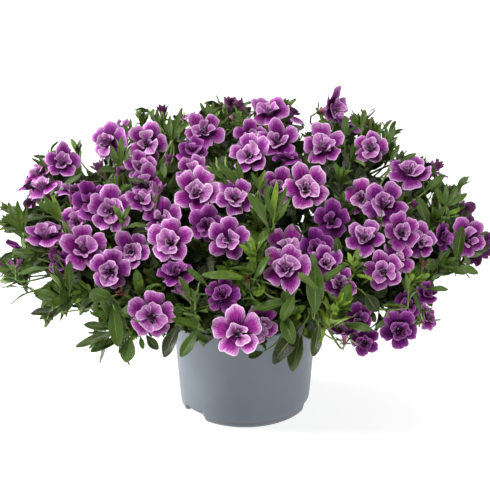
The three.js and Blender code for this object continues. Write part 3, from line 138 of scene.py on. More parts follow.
# Broad leaves at the front: (across, up, heading, length, width, towards the eye, tone).
BROAD_LEAVES = [
    (-158, -18, 186, 24, 5, 0.1, 0.2), (-147, -43, 165, 22, 7, 0.1, 0.2),
    (-149, -54, 181, 22, 7, 0, -0.15), (-145, -42, 105, 24, 7, 0.2, 0.15),
    (-141, -39, 88, 25, 7, 0.2, 0.1), (-95, -66, 127, 35, 12, 0.3, -0.05),
    (-101, -67, 135, 20, 8, 0.3, 0.35), (-102, -69, 195, 34, 6.5, 0.1, 0.15),
    (-107, -68, 165, 21, 7, 0.1, 0.2), (-100, -76, 198, 24, 7, 0.2, 0.25),
    (-92, -75, 258, 18, 12, 0.3, 0.4), (-84, -74, 283, 9, 4, 0.2, 0.1),
    (-79, -73, 310, 13, 7, 0.1, -0.15), (-54, -65, 247, 25, 10.5, 0.2, -0.2),
    (-38, -67, 158, 22, 9, 0.4, 0.3), (-39, -70, 237, 22, 9, 0.4, 0.3),
    (31, -47, 188, 24, 9.5, 0.4, 0.1), (39, -41, 246, 22, 9, 0.5, 0.1),
    (31, -55, 287, 24, 11, 0.4, 0.05), (47, -64, 231, 37, 13, 0.3, -0.3),
    (45, -73, 253, 27, 12, 0.2, -0.25), (59, -65, 261, 23, 8.5, 0.3, 0),
    (56, -55, 88, 38, 13.5, 0.5, 0.35), (75, -59, 75, 29, 10.5, 0.5, 0.45),
    (80, -64, 353, 22, 6.5, 0.5, 0.5), (4, -27, 170, 36, 7, 0.4, 0.55), (8, -27, 55, 21, 6.5, 0.5, 0.5),
    (75, -11, 92, 16, 6.5, 0.3, 0), (170, -14, 84, 29, 9.5, 0.3, 0.2), (171, -18, 345, 16, 8, 0.2, 0.3),
    (147, -35, 358, 15, 5.5, 0.2, 0.2), (137, -31, 40, 13, 5.5, 0.4, 0.5),
    (97, -40, 305, 15, 10.5, 0.1, -0.25), (141, -55, 105, 22, 5.5, 0.3, 0.3),
    (-10, 46, 140, 25, 4.8, 0.3, 0.2), (-4, 49, 132, 23, 4.8, 0.3, 0.25),
    (-2, 47, 103, 20, 5, 0.4, 0.25), (-101, 59, 174, 16, 8, 0.4, 0.15),
    (-81, 51, 172, 12, 8, 0.4, -0.1), (-100, -68, 152, 16, 6.5, 0.2, 0.1),
    (14, -86, 200, 11, 6.5, 0.1, 0.1),
    (80, 86, 88, 18, 6.5, 0.1, 0), (94, 94, 84, 15, 5.5, 0.1, 0.4), (91, 94, 125, 12, 4, 0.1, 0.3),
    (110, 92, 48, 12, 4, 0, 0.3), (115, 82, 72, 15, 5.5, 0.1, 0.35), (117, 66, 68, 16, 4, 0, 0.3),
    (126, 67, 88, 9, 4, 0, 0.25), (125, 67, 30, 14, 4, 0, 0.25), (145, 43, 43, 20, 6.5, 0.1, 0.3),
    (162, 31, 121, 17, 5, 0.1, 0.3), (162, 31, 35, 19, 5.5, 0.1, 0.35), (162, 31, 60, 18, 5, 0.1, 0.4),
    (162, 31, 92, 18, 4, 0.1, 0.4), (160, 23, 28, 15, 4, 0.1, 0.4), (-178, 10, 137, 20, 5, 0.1, 0.3),
    (-179, 11, 116, 25, 5.5, 0.1, 0.3), (-179, 11, 98, 24, 5, 0.1, 0.35),
    (-178, 10, 82, 21, 4, 0.1, 0.3), (-159, 23, 187, 21, 6.5, 0.1, 0),
    (-147, 20, 142, 24, 5, 0.3, 0.45), (-147, 20, 126, 23, 5, 0.3, 0.5),
    (-147, 20, 108, 20, 4, 0.3, 0.45), (-149, 44, 37, 23, 6.5, 0.3, 0.1),
    (-159, 67, 56, 12, 5, 0.1, 0.35), (-160, 61, 140, 14, 3, 0, 0.35), (-160, 61, 116, 14, 3, 0, 0.4),
    (-101, 63, 112, 18, 5, 0.3, 0.4), (-100, 63, 88, 23, 5, 0.3, 0.45), (-98, 63, 68, 18, 4, 0.3, 0.4),
    (-186, -6, 213, 12, 5.5, 0.1, 0.1), (-168, -10, 160, 19, 6.5, 0.1, 0.15),
    (-68, 95, 128, 16, 3, 0, 0.3), (-68, 96, 105, 13, 3, 0, 0.35), (-59, 84, 95, 20, 4, 0.1, 0.35),
    (-59, 85, 72, 26, 4, 0.1, 0.4), (-58, 84, 56, 19, 4, 0.1, 0.3), (-59, 85, 115, 16, 3, 0.1, 0.3),
    (-30, 103, 116, 13, 3, 0, 0.35), (-30, 103, 94, 10, 3, 0, 0.4), (-30, 103, 68, 10, 3, 0, 0.4),
    (-30, 103, 44, 11, 3, 0, 0.35), (-92, 88, 122, 11, 3, 0.1, 0.35), (-92, 88, 90, 13, 3, 0.1, 0.4),
    (-92, 88, 60, 10, 2.5, 0.1, 0.35), (2, 95, 135, 16, 5, 0.1, 0.25), (2, 95, 166, 14, 4, 0.1, 0.2),
    (-6, 47, 126, 23, 5, 0.3, 0.3), (18, 15, 115, 29, 7.5, 0.4, 0.2), (23, 18, 104, 29, 4, 0.4, 0.4),
    (23, 18, 90, 31, 5, 0.4, 0.45), (24, 18, 76, 29, 4, 0.4, 0.4), (25, 18, 62, 22, 4, 0.4, 0.35),
    (11, 44, 108, 15, 3, 0.4, 0.45), (11, 44, 78, 16, 4, 0.4, 0.5), (11, 44, 50, 12, 3, 0.4, 0.45),
    (9, -4, 70, 15, 5, 0.4, 0.4), (-44, -44, 112, 19, 5, 0.4, 0.3), (-31, -32, 140, 20, 5, 0.3, 0.1),
]

# Bare stalks at the front, as (across, up) points from the tip inwards.
STALKS = [
    ((8, -27), (14, -38), (20, -47)), ((-150, -54), (-137, -53), (-119, -51)),
    ((80, -76), (71, -78), (62, -74), (59, -66)), ((157, -60), (147, -61), (138, -63)),
    ((90, -80), (80, -72), (70, -66)), ((-172, -34), (-160, -45), (-148, -53)),
]

# Places where the background shows between the shoots or past them, from the front:
# (across, up, half the span across, half the span up).
OPEN_PLACES = [
    (-191, 48, 10, 15), (-163, 80, 8, 6), (-117, 70, 6, 10), (-59, 113, 5, 8), (-17, 121, 22, 5),
    (144, 77, 10, 6), (158, 72, 6, 9), (181, 40, 8, 13), (188, -11, 8, 5), (159, -52, 9, 6),
    (-124, 71, 8, 17), (-165, -28, 11, 8), (-138, -63, 22, 9), (167, -36, 20, 16), (186, 28, 12, 11),
    (192, -22, 8, 18), (167, 59, 10, 12), (130, 82, 9, 9), (110, 59, 13, 8), (-190, 2, 11, 10),
    (-175, 38, 11, 9), (-82, 119, 10, 8), (-24, 124, 10, 9), (-46, 113, 13, 5), (26, 122, 9, 5),
    (51, 111, 7, 7), (55, 97, 8, 6), (10, 99, 5, 6), (74, -79, 13, 6), (92, -46, 6, 5), (107, -54, 7, 4),
    (141, -71, 7, 7), (-76, -81, 20, 6), (-51, -72, 5, 6), (-174, -48, 12, 7),
    (-46, -84, 13, 13), (-10, -92, 40, 11), (28, -82, 10, 15), (50, -88, 12, 14),
    (148, 36, 5, 8), (-147, 80, 7, 12),
]

# ---- Small helpers ----
radians = math.radians
WHOLE_TURN = 2 * math.pi
GOLDEN_ANGLE = radians(137.5)


def vector(x, y, z):
    return np.array((x, y, z), float)


def unit(v):
    return v / np.maximum(np.linalg.norm(v, axis=-1, keepdims=True), 1e-12)


def draw(kind, index, use):
    """One seeded draw in [0, 1) for each kind of thing, its number and its use."""
    t = (kind * 7919 + index * 104729 + use * 1299709 + 12345) & 0xFFFFFFFF
    t = ((t ^ (t >> 16)) * 0x45D9F3B) & 0xFFFFFFFF
    t = ((t ^ (t >> 15)) * 0x2C1B3C6D) & 0xFFFFFFFF
    return (t ^ (t >> 16)) / 4294967296


def spread(kind, index, use):
    return 2 * draw(kind, index, use) - 1


def nearest_whole(value):
    return math.floor(value + 0.5)


def sideways_of(axis):
    helper = vector(0, 0, 1) if abs(axis[2]) < 0.9 else vector(0, 1, 0)
    side = unit(np.cross(helper, axis))
    return side, np.cross(axis, side)


def radial_round(axis, turn):
    """Directions at right angles to an axis, one for each turn round it."""
    side, over = sideways_of(axis)
    turn = np.reshape(turn, (-1, 1))
    return np.cos(turn) * side + np.sin(turn) * over


def even_turns(count):
    return WHOLE_TURN * np.arange(count) / count


# ---- The mound's outer surface and the sight line ----
def mound_height(x, upper):
    share = min(max(x / SPREAD_X if upper else -x / SPREAD_X, 0), 1)
    return RISE * (1 - RISE_FALL_RIGHT * share) if upper else DROP * (1 + DROP_SAG_LEFT * share)


def mound_normal(p):
    height = mound_height(p[0], p[2] >= WAIST_HEIGHT)
    return unit(vector(p[0] / SPREAD_X**2, p[1] / SPREAD_Y**2, (p[2] - WAIST_HEIGHT) / height**2))


def mound_point(tilt, heading):
    x = SPREAD_X * math.sin(tilt) * math.cos(heading)
    y = SPREAD_Y * math.sin(tilt) * math.sin(heading)
    height = mound_height(x, math.cos(tilt) >= 0)
    return vector(x, y, WAIST_HEIGHT + height * math.cos(tilt))


_elevation = radians(SIGHT_ELEVATION)
FORWARD = vector(0, math.cos(_elevation), -math.sin(_elevation))
UP = vector(0, math.sin(_elevation), math.cos(_elevation))
RIGHT = vector(1, 0, 0)
EYE = vector(0, 0, SIGHT_CENTRE_HEIGHT) - SIGHT_DISTANCE * FORWARD


def sight_line(across, up):
    return unit(SIGHT_DISTANCE * FORWARD + across * RIGHT + up * UP)


def mound_at(across, up, sunk):
    """Where the front view shows the mound's surface at (across, up), and `sunk` behind that."""
    line = sight_line(across, up)
    for upper in (True, False):
        height = mound_height(across, upper)
        o = vector(EYE[0] / SPREAD_X, EYE[1] / SPREAD_Y, (EYE[2] - WAIST_HEIGHT) / height)
        d = vector(line[0] / SPREAD_X, line[1] / SPREAD_Y, line[2] / height)
        a, b = d @ d, o @ d
        inside = max(b * b - a * (o @ o - 1), 0)
        point = EYE + line * (-b - math.sqrt(inside)) / a
        if upper and point[2] >= WAIST_HEIGHT:
            break
    return point + sunk * line


def seen_way(heading, towards, flat=1):
    """The direction at a heading in the front view, and partly towards the eye."""
    turn = radians(heading)
    return unit(flat * math.cos(turn) * RIGHT + flat * math.sin(turn) * UP - towards * FORWARD)


def lean_vector(right, up):
    towards = math.sqrt(max(1 - right * right - up * up, 0))
    return unit(right * RIGHT + up * UP - towards * FORWARD)


# ---- Layout: leafy stems, blooms, sprays and shoots, by the part's own rules ----
def lay_stems():
    stems = []
    for count, ring_tilt, ring_heading, foot in STEM_RINGS:
        for k in range(count):
            number = len(stems)
            step = 360 / count
            along = k + STEM_HEADING_SHIFT * spread(1, number, 0)
            heading = radians(ring_heading + step * along)
            tilt = radians(ring_tilt + STEM_TILT_SHIFT * spread(1, number, 1))
            surface = mound_point(tilt, heading)
            outward = mound_normal(surface)
            at = vector(foot * math.cos(heading), foot * math.sin(heading), SOIL_TOP)
            stems.append({"centre": surface - CORE_DEPTH * outward, "outward": outward, "foot": at})
    return stems


def nearest_stem(point, stems):
    return int(np.argmin([np.linalg.norm(stem["centre"] - point) for stem in stems]))


def in_bloom(points, bloom):
    """How far points are out from a bloom's axis, and how far in front of its face."""
    apart = points - bloom["centre"]
    height = apart @ bloom["face"]
    return np.sqrt(np.maximum((apart**2).sum(-1) - height**2, 0)), height


def inside_bloom(points, bloom):
    """True if any point is in the bloom's petals, its crown or its tube."""
    out, height = in_bloom(points, bloom)
    size = bloom["radius"]
    in_petals = (out < size) & (abs(height) < PETAL_THICKNESS)
    in_crown = (out < CROWN_RADIUS * size + 1) & (height > 0) & (height < CROWN_HEIGHT * size + 1)
    down = -height / (TUBE_LENGTH * size)
    in_tube = (down > 0) & (down < 1) & (out < THROAT_RADIUS * size * (1 - down) + 1.5)
    return (in_petals | in_crown | in_tube).any()


def probes_of(bloom):
    probes = []
    for out, height, count in PROBE_RINGS:
        ring = out * bloom["radius"] * radial_round(bloom["face"], even_turns(count))
        probes.append(bloom["centre"] + height * bloom["radius"] * bloom["face"] + ring)
    return np.concatenate(probes)


def blooms_cross(a, b):
    if np.linalg.norm(a["centre"] - b["centre"]) > a["radius"] + b["radius"] + 4:
        return False
    return inside_bloom(probes_of(a), b) or inside_bloom(probes_of(b), a)


def back_place(k, count, kind):
    """A place on the mound, the way out of it, and whether the front view doesn't show it."""
    tilt = math.acos(1 - BACK_REACH * (k + 0.5) / count)
    surface = mound_point(tilt, k * GOLDEN_ANGLE + 0.25 * spread(kind, k, 0))
    outward = mound_normal(surface)
    return surface, outward, outward @ FORWARD > -BACK_LIMIT and surface[2] > BACK_LOWEST


def jitter_of(kind, k, lift):
    return vector(spread(kind, k, 1), spread(kind, k, 2), spread(kind, k, 3) + lift)


def spin_towards(face, turn):
    """The spin that lets one lobe point at `turn` in the front view."""
    way = math.cos(turn) * RIGHT + math.sin(turn) * UP
    way = way - FORWARD * (way @ face) / (FORWARD @ face)
    side, over = sideways_of(face)
    return math.atan2(way @ over, way @ side)


def lay_blooms():
    """The front's blooms, those sunk least first, and then the back's on a golden spiral."""
    blooms = []

    def place(centre, face, diameter, tone, spin, inward, tries):
        bloom = {"centre": centre, "face": face, "radius": diameter / 2, "tone": tone,
                 "spin": spin, "number": len(blooms)}
        for k in range(NUDGE_TRIES):
            if not any(blooms_cross(bloom, other) for other in blooms):
                break
            if k == tries:
                return
            bloom["centre"] = bloom["centre"] + NUDGE * inward
        blooms.append(bloom)

    front = sorted(FRONT_BLOOMS, key=lambda row: row[5])
    for across, up, diameter, right, rise, sunk, tone, turn in front:
        centre, face = mound_at(across, up, sunk), lean_vector(right, rise)
        spin = spin_towards(face, radians(turn))
        place(centre, face, diameter, tone, spin, sight_line(across, up), NUDGE_TRIES)
    for k in range(BACK_CANDIDATES):
        surface, outward, hidden = back_place(k, BACK_CANDIDATES, 3)
        if hidden and k not in BACK_LEFT_OUT:
            face = unit(outward + 0.3 * jitter_of(3, k, 0.7))
            centre = surface + outward * (-1 - BACK_SUNK * draw(3, k, 4))
            diameter = BACK_DIAMETER + BACK_DIAMETER_SHIFT * draw(3, k, 5)
            tone = math.floor(2.6 * draw(3, k, 6))
            spin = WHOLE_TURN * draw(2, k, 0)
            place(centre, face, diameter, tone, spin, -outward, BACK_NUDGES)
    return blooms


def lay_sprays(blooms, stems):
    """Blooms go to the nearest stem, and a stem's blooms part into sprays of about three."""
    owned = [[] for _ in stems]
    for bloom in blooms:
        number = nearest_stem(bloom["centre"], stems)
        side, over = sideways_of(stems[number]["outward"])
        apart = bloom["centre"] - stems[number]["centre"]
        bloom["turn"] = math.atan2(apart @ over, apart @ side)
        owned[number].append(bloom)
    sprays = []
    for stem, group in enumerate(owned):
        group.sort(key=lambda bloom: bloom["turn"])
        parts = nearest_whole(len(group) / BLOOMS_PER_SPRAY) or (1 if group else 0)
        for k in range(parts):
            low = nearest_whole(k * len(group) / parts)
            high = nearest_whole((k + 1) * len(group) / parts)
            sprays.append({"stem": stem, "blooms": group[low:high]})
    return sprays


def between_blooms(tip, axis, leafy, blooms):
    """True if a shoot's leafy length passes every bloom's face."""
    points = tip - axis * leafy * np.array([0, 0.25, 0.5, 0.75, 1, 1.25])[:, None]
    for bloom in blooms:
        out, height = in_bloom(points, bloom)
        if ((out <= bloom["radius"] + 1) & (abs(height) <= BLOOM_CLEARANCE)).any():
            return False
    return True


def lay_shoots(stems, blooms):
    shoots = []

    def place(tip, axis, leafy, leaves, leaf_length, tone):
        base = tip - leafy * axis
        shoots.append({
            "tip": tip, "base": base, "axis": axis, "leafy": leafy, "leaves": leaves,
            "leaf_length": leaf_length, "tone": tone, "stem": nearest_stem(base, stems),
            "number": len(shoots)})

    for across, up, heading, towards, leafy, leaves, leaf_length, tone in FRONT_SHOOTS:
        axis = seen_way(heading, towards, math.sqrt(1 - towards * towards))
        place(mound_at(across, up, -STAND_OUT * towards), axis, leafy, leaves, leaf_length, tone)
    for k in range(BACK_SHOOT_CANDIDATES):
        at = (k * BACK_SHOOT_STRIDE) % BACK_SHOOT_CANDIDATES
        surface, outward, hidden = back_place(at, BACK_SHOOT_CANDIDATES, 9)
        if hidden and len(shoots) < len(FRONT_SHOOTS) + BACK_SHOOTS:
            axis = unit(outward + 0.45 * jitter_of(9, k, 0.5))
            tip = surface + outward * (2 + 9 * draw(9, k, 4))
            leafy = 16 + 8 * draw(9, k, 5)
            free = all(np.linalg.norm(shoot["tip"] - tip) > BACK_SHOOT_SPACING for shoot in shoots)
            free = free and abs(tip[0]) < HALF_SPAN_X and between_blooms(tip, axis, leafy, blooms)
            if free:
                place(tip, axis, leafy, 5, 19 + 7 * draw(9, k, 6), 1)
    return shoots


# ---- Gathering sheets and tubes into one mesh ----
class Batch:
    """Quads whose points carry two marks: where they are on their petal or leaf, and its look."""

    def __init__(self):
        self.points, self.where, self.look = [], [], []
        self.quads, self.finish = [], []
        self.count = 0

    def grids(self, points, where, look, finish, closed=False, flip=False):
        """Quads between rows and columns of points, round to the first column if closed."""
        n, rows, cols, _ = points.shape
        index = self.count + np.arange(n * rows * cols).reshape(n, rows, cols)
        here = index if closed else index[:, :, :-1]
        after = np.roll(index, -1, axis=2) if closed else index[:, :, 1:]
        corners = (here[:, :-1], after[:, :-1], after[:, 1:], here[:, 1:])
        quads = np.stack(corners, axis=-1).reshape(-1, 4)
        self.quads.append(quads[:, ::-1] if flip else quads)
        self.finish.append(np.full(len(quads), finish))
        self.points.append(points.reshape(-1, 3))
        self.where.append(np.broadcast_to(where, points.shape).reshape(-1, 3))
        self.look.append(np.broadcast_to(look, points.shape).reshape(-1, 3))
        self.count += n * rows * cols

    def sheets(self, points, where, look, finish, thick, closed=False, facing=1):
        """Both faces of thin sheets; the look's third value is 1 on the underside."""
        if closed:
            across = np.roll(points, -1, axis=2) - np.roll(points, 1, axis=2)
        else:
            across = np.gradient(points, axis=2)
        normal = facing * unit(np.cross(across, np.gradient(points, axis=1)))
        for side in (1, -1):
            marked = np.broadcast_to(look, points.shape).copy()
            marked[..., 2] = side < 0
            moved = points + 0.5 * side * thick * normal
            self.grids(moved, where, marked, finish, closed, flip=side * facing < 0)

    def tube(self, path, radii, look, finish, sides=6):
        """Rings round a path, carried along it without twist; a pair of radii runs evenly."""
        if len(radii) == 2:
            radii = np.linspace(*radii, len(path))
        path = np.asarray(path)
        along = unit(np.gradient(path, axis=0))
        side = sideways_of(along[0])[0]
        turn = even_turns(sides)[:, None]
        rings = []
        for point, way, radius in zip(path, along, radii):
            side = unit(side - (side @ way) * way)
            over = np.cross(way, side)
            rings.append(point + radius * (np.cos(turn) * side + np.sin(turn) * over))
        where = np.zeros((len(path), sides, 3))
        where[..., 0] = np.linspace(0, 1, len(path))[:, None]
        where[..., 1] = np.arange(sides) / sides
        self.grids(np.array(rings)[None], where, look, finish, closed=True)


def make_piece(name, batch, finishes, nodes=()):
    """One mesh of the looks, riding on the root, and the nodes of the CAD that it replaces."""
    mesh = bpy.data.meshes.new(name)
    points, quads = np.concatenate(batch.points), np.concatenate(batch.quads)
    mesh.vertices.add(len(points))
    mesh.vertices.foreach_set("co", (points * MM).ravel())
    mesh.loops.add(quads.size)
    mesh.loops.foreach_set("vertex_index", quads.ravel())
    mesh.polygons.add(len(quads))
    mesh.polygons.foreach_set("loop_start", np.arange(0, quads.size, 4))
    mesh.polygons.foreach_set("material_index", np.concatenate(batch.finish))
    mesh.polygons.foreach_set("use_smooth", np.ones(len(quads), bool))
    for title, values in (("where", batch.where), ("look", batch.look)):
        layer = mesh.attributes.new(title, "FLOAT_VECTOR", "POINT")
        layer.data.foreach_set("vector", np.concatenate(values).ravel())
    mesh.update(calc_edges=True)
    for finish in finishes:
        mesh.materials.append(finish)
    piece = bpy.data.objects.new(name, mesh)
    bpy.context.scene.collection.objects.link(piece)
    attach(piece, "root")
    if nodes:
        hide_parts(*nodes)


def bezier(knots, steps):
    """Points on one smooth curve, drawn towards each of its knots in turn."""
    t = np.linspace(0, 1, steps)[:, None]
    degree = len(knots) - 1
    shares = [math.comb(degree, k) * t**k * (1 - t) ** (degree - k) for k in range(degree + 1)]
    return sum(share * knot for share, knot in zip(shares, knots))


# ---- Blooms ----
PETAL, RUFFLE, FUNNEL, GREEN = 0, 1, 2, 3
PETAL_ROWS = np.array([0, 0.14, 0.28, 0.42, 0.56, 0.69, 0.81, 0.91, 0.97, 1])
# How finely a bloom is meshed: a lobe's columns, its rows, and the stride on an inner petal.
FINE, COARSE = (13, PETAL_ROWS, 1), (9, PETAL_ROWS[[0, 2, 4, 6, 8, 9]], 2)
THROAT_OPENING, THROAT_DROP, PETAL_SHEET = 0.13, 0.13, 0.3
# Whorls of inner petals: least and most count, base radius, length, half angle, and how far
# they open at the base and at the tip, in degrees from the bloom's axis.
WHORLS = ((3, 5, 0.17, 0.6, 60, 16, 80), (2, 4, 0.09, 0.44, 60, 6, 36), (1, 2, 0.02, 0.34, 80, 12, 8))
# The calyx behind a funnel: its sepals' count, opening in degrees, length, width and place.
SEPALS, SEPAL_OPENING, SEPAL_LENGTH, SEPAL_WIDTH, SEPAL_OUT = 5, (22, 46), (0.5, 0.66), 0.16, 0.07
# The tones run from pale to dark; on the front's blooms they partly paint the shade of blooms sunk among
# the leaves.
BLOOM_TONES, BLOOM_CUPS, BLOOM_STALK_RADII = (0.12, 0.42, 0.92), (-0.04, 0.3), (0.75, 0.95)


def bloom_axes(bloom):
    """The bloom's own right and up in the plane of its face, turned by its spin."""
    side, over = sideways_of(bloom["face"])
    right = math.cos(bloom["spin"]) * side + math.sin(bloom["spin"]) * over
    return right, np.cross(bloom["face"], right)


def in_space(bloom, radius, turn, height, drop):
    """Points given round a bloom's axis in shares of its radius, and let down by a share of it."""
    right, up = bloom_axes(bloom)
    x, y = radius * np.cos(turn) - drop * right[2], radius * np.sin(turn) - drop * up[2]
    offset = height[..., None] * bloom["face"] + x[..., None] * right + y[..., None] * up
    return bloom["centre"] + bloom["radius"] * offset


def add_corolla(batch, bloom, rng):
    """The five outer lobes as one ruffled sheet round the throat."""
    columns, rows, _ = bloom["mesh"]
    t = np.arange(columns) * 2 / columns - 1
    phi = np.tile(np.sin(0.5 * math.pi * t), LOBES)
    lobe = np.repeat(np.arange(LOBES), columns)
    each = lambda low, high: rng.uniform(low, high, LOBES)[lobe]
    wave = rng.uniform(0, WHOLE_TURN, (3, LOBES))[:, lobe]
    notches = rng.uniform(0.44, 0.66, LOBES)
    notch = np.where(phi > 0, np.roll(notches, -1)[lobe], notches[lobe])
    outline = notch + (1 - notch) * (1 - np.abs(phi) ** each(2.0, 3.4)) ** 0.5
    slow, quick = 0.034 * np.sin(4.5 * phi + wave[0]), 0.024 * np.sin(11 * phi + wave[1])
    outline *= each(0.91, 1.03) + slow + quick
    outline += each(-0.06, 0.07) * np.exp(-((phi / each(0.12, 0.4)) ** 2))
    rows = rows[:, None]
    radius = THROAT_OPENING + (outline - THROAT_OPENING) * rows
    free = np.clip(radius - notch, 0, None)
    turn = (lobe + 0.5 * phi * (1 + each(-0.15, 0.3) * free)) * WHOLE_TURN / LOBES
    right, up = bloom_axes(bloom)
    middle = even_turns(LOBES)
    rise = np.cos(middle) * right[2] + np.sin(middle) * up[2]
    cups = bloom["cup"] + 0.36 * np.clip(rise, -0.8, 1) + rng.uniform(-0.18, 0.2, LOBES)
    after, before = np.roll(cups, -1), np.roll(cups, 1)
    meeting = 0.5 * (cups[lobe] + np.where(phi > 0, after[lobe], before[lobe]))
    cup = cups[lobe] + (meeting - cups[lobe]) * np.abs(phi) ** 4
    out = np.clip((radius - 0.25) / 0.75, 0, None)
    height = -0.2 * np.exp(-((radius / 0.26) ** 2)) + cup * out**1.2
    height = height + each(-0.36, 0.14) * phi**2 * out
    height = height + 0.22 * phi * free + each(-0.2, 0.06) * rows**4
    height = height + each(0.03, 0.09) * np.sin(5 * phi + wave[2]) * rows**3
    height = height - 0.03 * np.exp(-((phi / 0.16) ** 2)) * rows
    margin = np.stack((outline * np.cos(turn[-1]), outline * np.sin(turn[-1])), axis=-1)
    flat = np.stack((radius * np.cos(turn), radius * np.sin(turn)), axis=-1)
    edge = np.linalg.norm(flat[:, :, None] - margin[None, None], axis=-1).min(axis=-1)
    edge = edge * (1 + 3.2 * np.clip(0.94 - radius, 0, None))
    where = np.stack((edge, radius, np.broadcast_to(phi + 3 * lobe, radius.shape)), axis=-1)
    points = in_space(bloom, radius, turn, height, THROAT_DROP * (1 - rows))
    batch.sheets(points[None], where, bloom["look"], PETAL, PETAL_SHEET, closed=True, facing=-1)


def add_ruffle(batch, bloom, rng):
    """The inner petals: curled scraps of different sizes that stand round the throat."""
    stride = bloom["mesh"][2]
    u = np.linspace(-1, 1, 9)[None, ::stride]
    v0 = np.linspace(0, 1, 7)[::stride, None]
    for least, most, base, length, half, start, end in WHORLS:
        count = rng.integers(least, most + 1)
        first = rng.uniform(0, WHOLE_TURN)
        for k in range(count):
            reach = length * rng.uniform(0.66, 1.12)
            v = v0 * (1 - rng.uniform(0.15, 0.45) * np.abs(u) ** rng.uniform(1.8, 3.2))
            v = v * (1 - 0.12 * rng.random() * np.exp(-((u / 0.16) ** 2)) * v0)
            low = radians(start + rng.uniform(-10, 8))
            more = radians(end - start + rng.uniform(-44, 18))
            radius = base + reach * (np.cos(low) - np.cos(low + more * v)) / more
            height = -0.1 + reach * (np.sin(low + more * v) - np.sin(low)) / more
            p = rng.uniform(0, WHOLE_TURN, 4)
            side_curl = rng.uniform(-0.06, 0.24) * np.abs(u) ** 2 * v
            height = height + 0.075 * np.sin(4.4 * u + p[0]) * v**1.4 + side_curl
            radius = radius + 0.06 * np.cos(3.9 * u + p[1]) * v**1.4 + 0.02 * np.sin(9 * u + p[2]) * v**2
            turn = first + (k + 0.25 * rng.uniform(-1, 1)) * WHOLE_TURN / count
            turn = turn + u * radians(half * rng.uniform(0.7, 1.2)) * (0.75 + 0.35 * v)
            edge = np.minimum(reach * (1 - v0), 0.5 * (1 - np.abs(u)) * (0.35 + v0))
            edge = edge * (1.5 - 0.5 * v0)
            mark = np.broadcast_to(0.8 * u + 3 * k + base, radius.shape)
            where = np.stack((edge, radius, mark), axis=-1)
            points = in_space(bloom, radius, turn, height, THROAT_DROP)
            batch.sheets(points[None], where, bloom["look"], RUFFLE, PETAL_SHEET, facing=-1)


def add_funnel(batch, bloom, rng):
    """The funnel behind the face, and its calyx of five narrow sepals."""
    size, face = bloom["radius"], bloom["face"]
    shares = np.array([0.05, 0.16, 0.3, 0.46, 0.62, 0.77, TUBE_LENGTH])
    radii = size * np.array([0.42, 0.29, 0.2, 0.155, 0.125, 0.1, 0.09])
    batch.tube(bloom["centre"] - size * shares[:, None] * face, radii, bloom["look"], FUNNEL, 12)
    turn = rng.uniform(0, WHOLE_TURN) + even_turns(SEPALS)
    open_by = np.radians(rng.uniform(*SEPAL_OPENING, SEPALS))
    length = size * rng.uniform(*SEPAL_LENGTH, SEPALS)
    sepals = blades_round(bloom["centre"], face, (TUBE_LENGTH + 0.02) * size, turn, open_by, length,
                          np.full(SEPALS, SEPAL_WIDTH * size), SEPAL_OUT * size)
    add_leaves(batch, sepals, 0.5, rng, GREEN, (5, 3), 0.75)


def add_stalk(batch, bloom, stem, rng):
    """A bloom's stalk: straight out of the funnel, and then in a bow into its leafy stem."""
    tail = bloom["centre"] - TUBE_LENGTH * bloom["radius"] * bloom["face"]
    away = np.linalg.norm(tail - stem["centre"])
    joint = stem["centre"] + 3 * rng.uniform(-1, 1, 3)
    bow = joint + 0.35 * away * unit(unit(tail - joint) + 0.5 * stem["outward"])
    knots = (tail, tail - 0.38 * away * bloom["face"], bow, joint)
    batch.tube(bezier(knots, 9), BLOOM_STALK_RADII, (0.55, rng.random(), 0), GREEN)


# ---- Leaves ----
LEAF_STATIONS = np.array([0, 0.1, 0.25, 0.42, 0.6, 0.77, 0.9, 0.97, 1])
LEAF_OUTLINE = np.array([0.2, 0.34, 0.66, 0.93, 1, 0.84, 0.54, 0.27, 0.06])
LEAF_SHEET = 0.34


def add_leaves(batch, blades, tone, rng, finish, grid=(8, 5), arch=0.6):
    """Arched blades folded a little along the midrib, all in one go."""
    root, way, face = blades["root"], blades["way"], blades["face"]
    n = len(root)
    rows, cols = grid
    s = np.sin(0.5 * math.pi * np.linspace(0, 1, rows) ** 0.85)[None, :, None, None]
    c = np.linspace(-1, 1, cols)[None, None, :, None]
    outline = np.interp(s, LEAF_STATIONS, LEAF_OUTLINE)
    each = lambda low, high: rng.uniform(low, high, (n, 1, 1, 1))
    deep = np.maximum(arch * each(-0.2, 1.3), 0.03)
    wide = 0.5 * np.reshape(blades["width"], (-1, 1, 1, 1)) * outline
    long = np.reshape(blades["length"], (-1, 1, 1, 1))
    face = unit(face - (face * way).sum(-1, keepdims=True) * way)
    across = np.cross(way, face)[:, None, None]
    way, face = way[:, None, None], face[:, None, None]
    twist = each(-0.5, 0.5) * s
    flat = across * np.cos(twist) + face * np.sin(twist)
    lifted = face * np.cos(twist) - across * np.sin(twist)
    fold = each(0.14, 0.66) * (1 - 0.5 * s)
    points = root[:, None, None] + way * long * np.sin(deep * s) / deep
    points = points - face * long * (1 - np.cos(deep * s)) / deep
    sway = 0.05 * long * np.sin(3 * s + each(0, 6)) * s * each(-1, 1)
    points = points + flat * (c * wide + sway) + lifted * (np.abs(c) * wide * fold)
    points = points + lifted * 0.03 * long * np.sin(9 * s + each(0, 6)) * c**2
    where = np.empty(points.shape)
    where[..., 0], where[..., 1], where[..., 2] = s[..., 0], c[..., 0], long[..., 0] / 30
    look = np.zeros((n, 1, 1, 3))
    look[..., 0], look[..., 1] = np.reshape(tone, (-1, 1, 1)), each(0, 1)[..., 0]
    batch.sheets(points, where, look, finish, LEAF_SHEET)


